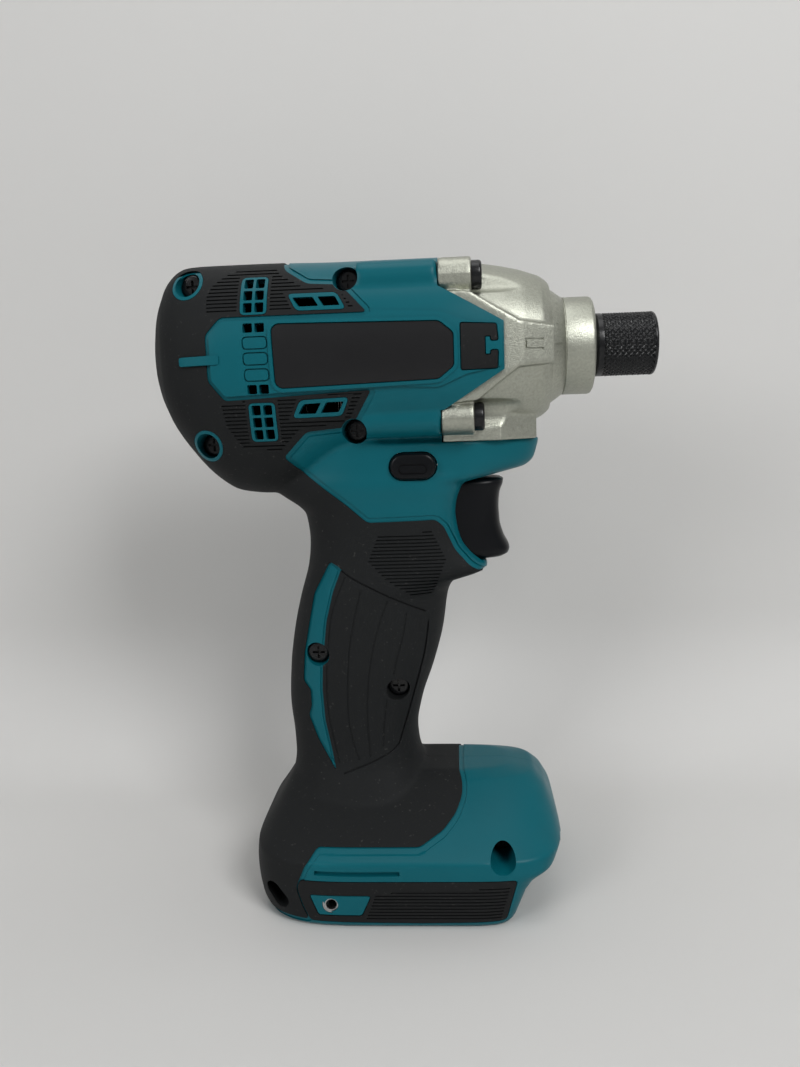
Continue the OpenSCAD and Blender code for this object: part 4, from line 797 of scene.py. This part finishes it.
sleeve = {"radius": 9.5, "bore": 8.25, "skirt": 1.5, "smooth": 2.6, "nose": 0.9, "chamfer": 0.8, "sides": 288,
          "knurl": 0.4, "around": 32, "pitch": 1.65, "rows": 96, "flank": 1.4,
          "mouth": [(6.2, 0), (5.6, 0.8), (5.6, 3.2)], "boreEnd": 3.4}


def knurledSleeve():
    low, high, r = sleeveLow.x - sleeve["skirt"], sleeveHigh.x, sleeve["radius"]
    nose, chamfer, rows = sleeve["nose"], sleeve["chamfer"], sleeve["rows"]
    start, end = low + sleeve["smooth"], high - nose - 0.1
    profile = [(sleeve["bore"], low), (r - chamfer, low), (r, low + 1.4 * chamfer), (r, start - 0.2)]
    profile += [(r - 0.02, start + (end - start) * k / rows) for k in range(rows + 1)]
    profile += [(r - nose * (1 - math.cos(a)), high - nose * (1 - math.sin(a))) for a in
                [math.pi / 2 * k / 6 for k in range(7)]]
    profile += [(inner, high - depth) for inner, depth in sleeve["mouth"]]
    profile.append((sleeve["bore"], high - sleeve["boreEnd"]))
    bm = bmesh.new()
    turnedProfile(bm, profile, sleeve["sides"])
    for vert in bm.verts:
        out = Vector((vert.co.y, vert.co.z - axisZ))
        if start < vert.co.x < end and out.length > r - 0.1:
            turn = math.atan2(out.y, out.x) / (2 * math.pi) * sleeve["around"]
            along = (vert.co.x - start) / sleeve["pitch"]
            cut = min(abs((turn + along) % 1 - 0.5), abs((turn - along) % 1 - 0.5)) * 2
            scale = 1 - sleeve["knurl"] * max(0, 1 - cut * sleeve["flank"]) / r
            vert.co.y *= scale
            vert.co.z = axisZ + (vert.co.z - axisZ) * scale
    piece = newPiece("bitSleeve", bm)
    smooth(piece, 30)
    return piece


triggerForm = {
    "rows": [  # height, front, half width
        (triggerLow.z, 29.4, 7.6), (triggerLow.z + 0.25, 30.6, 8.6), (triggerLow.z + 1.1, 32.2, 9.3),
        (triggerLow.z + 2.6, 32.7, 9.5), (112.6, 30.9, 9.5), (117.4, 29.7, 9.5), (122.1, 29.5, 9.5),
        (126.2, 29.9, 9.5), (triggerHigh.z - 1.6, 31.0, 9.5), (triggerHigh.z - 0.6, 31.1, 9.2),
        (triggerHigh.z - 0.12, 30.2, 8.4), (triggerHigh.z, 28.8, 7.4)],
    "back": 16, "tail": 4, "backPower": 7, "frontPower": 3.4, "step": 0.8, "sides": 64,
}


def pulledTrigger():
    rings = []
    back, tail = triggerForm["back"], triggerForm["tail"]
    for z, front, half in eased(triggerForm["rows"], triggerForm["step"]):
        rings.append([(back + x, y, z) for x, y in
                      section(front - back, tail, half, half, triggerForm["backPower"], triggerForm["frontPower"],
                              triggerForm["sides"])])
    piece = lofted("trigger", rings)
    smooth(piece, 50)
    return piece


lever = {"round": 1.0, "groove": 0.45, "grooveDepth": 0.4, "inset": (8.6, 3.0), "insetDrop": 0.7, "sides": 14}


def slidingLever():
    piece = prism("reversingLever", pill(*leverMiddle, *leverSize, lever["sides"]), leverLow.y, leverHigh.y)
    softEdges(piece, lever["round"], 50, 4)
    wide, high = lever["inset"]
    x, z = leverMiddle[0], leverMiddle[1] - lever["insetDrop"]
    for face, inward in ((leverLow.y, lever["grooveDepth"]), (leverHigh.y, -lever["grooveDepth"])):
        groove = prism("grooveOuter", pill(x, z, wide, high), min(face, face + inward) - 0.05,
                       max(face, face + inward) + 0.05)
        carve(groove, prism("grooveInner", pill(x, z, wide - 2 * lever["groove"], high - 2 * lever["groove"]),
                            face - 2, face + 2))
        carve(piece, groove)
    smooth(piece, 40)
    return piece


lens = {"radius": (lensHigh.z - lensLow.z) / 2, "dome": 0.9, "edge": 0.2, "steps": 8, "sides": 40}


def domedLens():
    r, edge, dome, steps = lens["radius"], lens["edge"], lens["dome"], lens["steps"]
    back, front = lensLow.x, lensHigh.x
    profile = [(0, back), (r - edge, back), (r, back + edge), (r, front - dome)]
    profile += [(r * math.cos(a), front - dome * (1 - math.sin(a))) for a in
                [math.pi / 2 * k / steps for k in range(1, steps)]] + [(0, front)]
    bm = bmesh.new()
    turnedProfile(bm, profile, lens["sides"], closed=False)
    bmesh.ops.translate(bm, vec=(0, 0, lampZ - axisZ), verts=bm.verts)
    piece = newPiece("lampLens", bm)
    smooth(piece, 40)
    return piece


shellScrew = {"head": 3.4, "height": 2.6, "shank": 1.9, "socket": 1.9, "depth": 1.4, "long": 22}
crossBar = 0.75  # width of a bar of the cross recess


def headedScrew(name, place, direction, spec):
    # one screw: rounded head with a cross recess and a shank behind it
    head, height, socket = spec["head"], spec["height"], spec["socket"]
    bm = bmesh.new()
    bmesh.ops.create_cone(bm, cap_ends=True, segments=40, radius1=head, radius2=head, depth=height)
    rim = [e for e in bm.edges if all(v.co.z > 0 for v in e.verts) and len(e.link_faces) == 2
           and any(abs(f.normal.z) > 0.9 for f in e.link_faces)]
    bmesh.ops.bevel(bm, geom=rim, offset=height * 0.3, segments=4, profile=0.5, affect="EDGES", material=-1)
    piece = newPiece(name, bm)
    carve(piece, rod("shank", (0, 0, -spec["long"]), (0, 0, -height / 2 + 0.2), spec["shank"], 24), "UNION")
    for wide, deep in ((socket, crossBar / 2), (crossBar / 2, socket)):
        carve(piece, block("crossBar", (-wide, -deep, height / 2 - spec["depth"]), (wide, deep, height / 2 + 1)))
    turn = Vector((0, 0, 1)).rotation_difference(Vector(direction)).to_matrix().to_4x4()
    piece.data.transform(Matrix.Translation(Vector(place) * mm) @ turn)
    return piece


def joined(name, parts):
    bm = bmesh.new()
    for part in parts:
        bm.from_mesh(part.data)
        discard(part)
    mesh = bpy.data.meshes.new(name)
    bm.to_mesh(mesh)
    bm.free()
    piece = bpy.data.objects.new(name, mesh)
    scene.collection.objects.link(piece)
    smooth(piece, 35)
    return piece


bitSleeve = knurledSleeve()
trigger = pulledTrigger()
reversingLever = slidingLever()
lampLens = domedLens()
shellScrews = joined("housingScrews", [
    headedScrew("shellScrew", (x, -seat - shellScrew["height"] / 2, z), (0, -1, 0), shellScrew)
    for x, z, seat in screwHoles["places"]])
caseScrews = joined("hammerCaseScrews", [
    headedScrew("caseScrew", (bossEnd + caseScrew["height"] / 2, y, z), (1, 0, 0), caseScrew)
    for y, z in tubePlaces])


def threadedNut(side):
    x, z, r = housing["hookHole"]
    nut = rod("hookNut", (x, side * hookNut["face"], z), (x, side * hookNut["back"], z), hookNut["radius"], 32)
    carve(nut, rod("bore", (x, side * 45, z), (x, side * 30, z), r, 32))
    softEdges(nut, hookNut["edge"], 50, 2)
    return nut


hookNuts = joined("hookNuts", [threadedNut(side) for side in (-1, 1)])
print("sleeve, trigger, lever, lens and screws done")


def socketGroup(name, inputs, outputs):
    group = bpy.data.node_groups.new(name, "ShaderNodeTree")
    for label, value in inputs:
        entry = group.interface.new_socket(label, in_out="INPUT", socket_type="NodeSocketFloat")
        entry.default_value = value
    for label in outputs:
        group.interface.new_socket(label, in_out="OUTPUT", socket_type="NodeSocketFloat")
    return group, group.nodes.new("NodeGroupInput"), group.nodes.new("NodeGroupOutput")


grainDetail = {"Grain": 3, "Mottle": 4, "Specks": 2}
dustRange = (0.66, 0.78)  # how rare the dust specks are


def mouldedGrain():
    # fine texture height, soft mottling and dust specks over a surface
    group, given, result = socketGroup("mouldedGrain", [("Grain", 2200.0), ("Mottle", 45.0), ("Specks", 900.0)],
                                       ["Height", "Mottle", "Dust"])
    nodes, links = group.nodes, group.links
    place = nodes.new("ShaderNodeTexCoord")
    noise = {}
    for label, detail in grainDetail.items():
        noise[label] = nodes.new("ShaderNodeTexNoise")
        noise[label].inputs["Detail"].default_value = detail
        links.new(place.outputs["Object"], noise[label].inputs["Vector"])
        links.new(given.outputs[label], noise[label].inputs["Scale"])
    dust = nodes.new("ShaderNodeMapRange")
    dust.inputs["From Min"].default_value, dust.inputs["From Max"].default_value = dustRange
    links.new(noise["Specks"].outputs["Fac"], dust.inputs["Value"])
    links.new(noise["Grain"].outputs["Fac"], result.inputs["Height"])
    links.new(noise["Mottle"].outputs["Fac"], result.inputs["Mottle"])
    links.new(dust.outputs["Result"], result.inputs["Dust"])
    return group


grainGroup = mouldedGrain()
plainFinish = {"mottle": 45, "vary": 0.12, "depth": 0.00008, "metal": 0, "shine": 0.5, "clear": 0, "dust": 0,
               "roughSpread": 0.06, "dustColor": (0.32, 0.31, 0.29, 1)}


def finish(name, look):
    look = {**plainFinish, **look}
    made = bpy.data.materials.new(name)
    made.use_nodes = True
    nodes, links = made.node_tree.nodes, made.node_tree.links
    surface = nodes["Principled BSDF"]
    grain = nodes.new("ShaderNodeGroup")
    grain.node_tree = grainGroup
    grain.inputs["Grain"].default_value = look["grain"]
    grain.inputs["Mottle"].default_value = look["mottle"]
    tint = nodes.new("ShaderNodeMix")
    tint.data_type = "RGBA"
    color, vary, spread = look["color"], look["vary"], look["roughSpread"]
    tint.inputs["A"].default_value = [c * (1 - vary) for c in color] + [1]
    tint.inputs["B"].default_value = [min(1, c * (1 + vary)) for c in color] + [1]
    links.new(grain.outputs["Mottle"], tint.inputs["Factor"])
    last = tint
    if look["dust"]:
        dusty = nodes.new("ShaderNodeMix")
        dusty.data_type = "RGBA"
        share = nodes.new("ShaderNodeMath")
        share.operation = "MULTIPLY"
        share.inputs[1].default_value = look["dust"]
        links.new(grain.outputs["Dust"], share.inputs[0])
        links.new(share.outputs[0], dusty.inputs["Factor"])
        links.new(tint.outputs["Result"], dusty.inputs["A"])
        dusty.inputs["B"].default_value = look["dustColor"]
        last = dusty
    links.new(last.outputs["Result"], surface.inputs["Base Color"])
    rough = nodes.new("ShaderNodeMapRange")
    rough.inputs["To Min"].default_value = look["rough"] - spread
    rough.inputs["To Max"].default_value = look["rough"] + spread
    links.new(grain.outputs["Mottle"], rough.inputs["Value"])
    links.new(rough.outputs["Result"], surface.inputs["Roughness"])
    bump = nodes.new("ShaderNodeBump")
    bump.inputs["Strength"].default_value = look["bump"]
    bump.inputs["Distance"].default_value = look["depth"]
    links.new(grain.outputs["Height"], bump.inputs["Height"])
    links.new(bump.outputs["Normal"], surface.inputs["Normal"])
    surface.inputs["Metallic"].default_value = look["metal"]
    surface.inputs["Specular IOR Level"].default_value = look["shine"]
    surface.inputs["Transmission Weight"].default_value = look["clear"]
    return made


finishes = {
    "housing_plastic": {"color": (0.0015, 0.112, 0.143), "rough": 0.38, "grain": 2600, "bump": 0.22,
                        "shine": 0.18},
    "grip_rubber": {"color": (0.0108, 0.0119, 0.0125), "rough": 0.66, "grain": 1900, "bump": 0.5, "dust": 0.09,
                    "shine": 0.17},
    "inlay_rubber": {"color": (0.0106, 0.0113, 0.0118), "rough": 0.6, "grain": 1900, "bump": 0.4, "dust": 0.08,
                     "shine": 0.17},
    "plate_plastic": {"color": (0.008, 0.008, 0.009), "rough": 0.34, "grain": 3200, "bump": 0.12, "shine": 0.3},
    "black_steel": {"color": (0.0045, 0.005, 0.006), "rough": 0.26, "grain": 1500, "bump": 0.15, "shine": 0.36},
    "cast_case": {"color": (0.398, 0.408, 0.35), "rough": 0.4, "grain": 2600, "bump": 1.0, "depth": 0.0001,
                  "metal": 1.0, "vary": 0.28, "mottle": 1300},
    "bright_steel": {"color": (0.46, 0.46, 0.46), "rough": 0.28, "grain": 1200, "bump": 0.1, "metal": 1.0},
    "magnet_ceramic": {"color": (0.05, 0.05, 0.052), "rough": 0.6, "grain": 1500, "bump": 0.3},
    "brush_carbon": {"color": (0.02, 0.02, 0.021), "rough": 0.55, "grain": 2000, "bump": 0.3},
    "copper_wire": {"color": (0.55, 0.22, 0.09), "rough": 0.32, "grain": 1400, "bump": 0.2, "metal": 1.0},
    "bronze": {"color": (0.62, 0.42, 0.16), "rough": 0.3, "grain": 1400, "bump": 0.15, "metal": 1.0},
    "black_plastic": {"color": (0.0028, 0.0034, 0.0046), "rough": 0.3, "grain": 2400, "bump": 0.15,
                      "shine": 0.18},
    "lamp_body": {"color": (0.75, 0.75, 0.7), "rough": 0.4, "grain": 1500, "bump": 0.1},
    "lamp_glass": {"color": (0.85, 0.87, 0.88), "rough": 0.12, "grain": 900, "bump": 0.05, "clear": 0.85},
    "lead_insulation": {"color": (0.02, 0.02, 0.02), "rough": 0.45, "grain": 1600, "bump": 0.15},
}
materials = {name: finish(name, look) for name, look in finishes.items()}


def dress(piece, slotName):
    piece.data.materials.clear()
    piece.data.materials.append(materials[slotName])


made = [  # piece, body, finish and the node it stands for
    (shell, "tool_body", "housing_plastic", "housing_right"),
    (housingLeft, "tool_body", "housing_plastic", "housing_left"),
    (rubber, "tool_body", "grip_rubber", "grip_right"),
    (rubberLeft, "tool_body", "grip_rubber", "grip_left"),
    (sidePlate, "tool_body", "plate_plastic", "side_plates"),
    (bpy.data.objects["sidePlateLeft"], "tool_body", "plate_plastic", "side_plates"),
    (sidePad, "tool_body", "inlay_rubber", "side_pads"),
    (bpy.data.objects["sidePadLeft"], "tool_body", "inlay_rubber", "side_pads"),
    (footInlay, "tool_body", "inlay_rubber", "foot_pads"),
    (bpy.data.objects["footInlayLeft"], "tool_body", "inlay_rubber", "foot_pads"),
    (castCase, "tool_body", "cast_case", "hammer_case"),
    (caseScrews, "tool_body", "black_steel", "hammer_case_screws"),
    (shellScrews, "tool_body", "black_steel", "housing_screws"),
    (hookNuts, "tool_body", "bright_steel", "hook_nuts"),
    (bitSleeve, "sleeve", "black_steel", "bit_sleeve"),
    (trigger, "trigger", "black_plastic", "trigger"),
    (reversingLever, "lever", "black_plastic", "reversing_lever"),
    (lampLens, "tool_body", "lamp_glass", "lamp_lens"),
]
for piece, body, slotName, node in made:
    dress(piece, slotName)
    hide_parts(node)
    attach(piece, body)
shown = {node for _, _, _, node in made}
for entry in frame["record"]["subparts"]:
    if entry["node"] not in shown:
        dress(frame["nodes"][entry["node"]], entry["material_slot"])
for piece in [form, hollow, *surfaces.values()]:
    discard(piece)
print("finishes set")

studio = {
    "floor": (0.7, 0.695, 0.68), "floorRough": 0.7, "cloud": 3, "cloudVary": 0.03,
    "wallBehind": 0.11, "bend": 0.06, "bendSteps": 12, "wide": 1.1, "near": 0.8, "tall": 1.1,
    "key": {"place": (0.5, -0.75, 0.75), "size": 0.4, "power": 6},
    "fill": {"place": (-0.65, -0.8, 0.55), "size": 0.4, "power": 2.7},
    "top": {"place": (0.0, -0.05, 0.95), "size": 0.6, "power": 2.3},
    "behind": {"place": (-0.4, 0.85, 0.6), "size": 0.6, "power": 3},
    "lampsAimAt": (0, 0, 0.1),
    "sky": 0.075, "skyColor": (0.93, 0.95, 1, 1), "horizon": 0.42,
}


def pale(name, color):
    made = bpy.data.materials.new(name)
    made.use_nodes = True
    nodes, links = made.node_tree.nodes, made.node_tree.links
    place = nodes.new("ShaderNodeTexCoord")
    cloud = nodes.new("ShaderNodeTexNoise")
    cloud.inputs["Scale"].default_value = studio["cloud"]
    tint = nodes.new("ShaderNodeMix")
    tint.data_type = "RGBA"
    tint.inputs["A"].default_value = [c * (1 - studio["cloudVary"]) for c in color] + [1]
    tint.inputs["B"].default_value = [c * (1 + studio["cloudVary"]) for c in color] + [1]
    links.new(place.outputs["Object"], cloud.inputs["Vector"])
    links.new(cloud.outputs["Fac"], tint.inputs["Factor"])
    links.new(tint.outputs["Result"], nodes["Principled BSDF"].inputs["Base Color"])
    nodes["Principled BSDF"].inputs["Roughness"].default_value = studio["floorRough"]
    side = nodes.new("ShaderNodeNewGeometry")
    through = nodes.new("ShaderNodeBsdfTransparent")
    blend = nodes.new("ShaderNodeMixShader")  # seen through from behind and below
    links.new(side.outputs["Backfacing"], blend.inputs[0])
    links.new(nodes["Principled BSDF"].outputs[0], blend.inputs[1])
    links.new(through.outputs[0], blend.inputs[2])
    links.new(blend.outputs[0], nodes["Material Output"].inputs["Surface"])
    return made


bm = bmesh.new()
wallY, bend, steps = studio["wallBehind"], studio["bend"], studio["bendSteps"]
run = [(-studio["near"], 0), (wallY - bend, 0)]  # floor, bend and wall from the side
run += [(wallY - bend * (1 - math.sin(a)), bend * (1 - math.cos(a)))
        for a in [math.pi / 2 * k / steps for k in range(1, steps)]]
run += [(wallY, bend), (wallY, studio["tall"])]
verts = [bm.verts.new((-studio["wide"], y, z)) for y, z in run]
edges = [bm.edges.new(pair) for pair in zip(verts, verts[1:])]
sweep = bmesh.ops.extrude_edge_only(bm, edges=edges)
bmesh.ops.translate(bm, vec=(2 * studio["wide"], 0, 0), verts=movedVerts(sweep))
bmesh.ops.scale(bm, vec=(1 / mm, 1 / mm, 1 / mm), verts=bm.verts)
bm.normal_update()
if any(face.normal.z < -0.5 for face in bm.faces):
    bmesh.ops.reverse_faces(bm, faces=bm.faces)
backdrop = newPiece("backdrop", bm, outward=False)
smooth(backdrop, 60)
backdrop.data.materials.append(pale("paleBackdrop", studio["floor"]))
backdrop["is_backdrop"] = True

for name in ("key", "fill", "top", "behind"):
    spec = studio[name]
    lamp = bpy.data.lights.new(name, "AREA")
    lamp.size = spec["size"]
    lamp.energy = spec["power"]
    holder = bpy.data.objects.new(name, lamp)
    holder.location = spec["place"]
    aim = Vector(studio["lampsAimAt"]) - Vector(spec["place"])
    holder.rotation_euler = aim.to_track_quat("-Z", "Y").to_euler()
    scene.collection.objects.link(holder)
world = bpy.data.worlds.new("studioSky")
world.use_nodes = True
nodes, links = world.node_tree.nodes, world.node_tree.links
sky = nodes["Background"]
sky.inputs["Color"].default_value = studio["skyColor"]
sky.inputs["Strength"].default_value = studio["sky"]
horizon = nodes.new("ShaderNodeBackground")
horizon.inputs["Strength"].default_value = studio["horizon"]
path = nodes.new("ShaderNodeLightPath")
blend = nodes.new("ShaderNodeMixShader")
seen = path.outputs["Is Camera Ray"]
for ray in ("Is Glossy Ray", "Is Transmission Ray"):  # metal and glass show the pale horizon too
    either = nodes.new("ShaderNodeMath")
    either.operation = "MAXIMUM"
    links.new(seen, either.inputs[0])
    links.new(path.outputs[ray], either.inputs[1])
    seen = either.outputs[0]
links.new(seen, blend.inputs[0])
links.new(sky.outputs[0], blend.inputs[1])
links.new(horizon.outputs[0], blend.inputs[2])
links.new(blend.outputs[0], nodes["World Output"].inputs["Surface"])
scene.world = world
scene.view_settings.view_transform = "Standard"

view = {
    "place": (0.01659, -0.28487, 0.15645),
    "right": (0.99757, 0.05988, -0.03576), "up": (0.0263, 0.15183, 0.98806),
    "back": (0.06459, -0.98659, 0.14988), "lens": 30.37, "sensor": 36, "clip": 0.01,
}
camera = bpy.data.objects.new("camera", bpy.data.cameras.new("camera"))
turn = Matrix([view["right"], view["up"], view["back"]]).transposed().to_4x4()
camera.matrix_world = Matrix.Translation(view["place"]) @ turn
camera.data.sensor_fit = "VERTICAL"
camera.data.sensor_height = view["sensor"]
camera.data.lens = view["lens"]
camera.data.clip_start = view["clip"]
scene.collection.objects.link(camera)
scene.camera = camera
print("studio and camera set")

bpy.context.view_layer.update()
low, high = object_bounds()
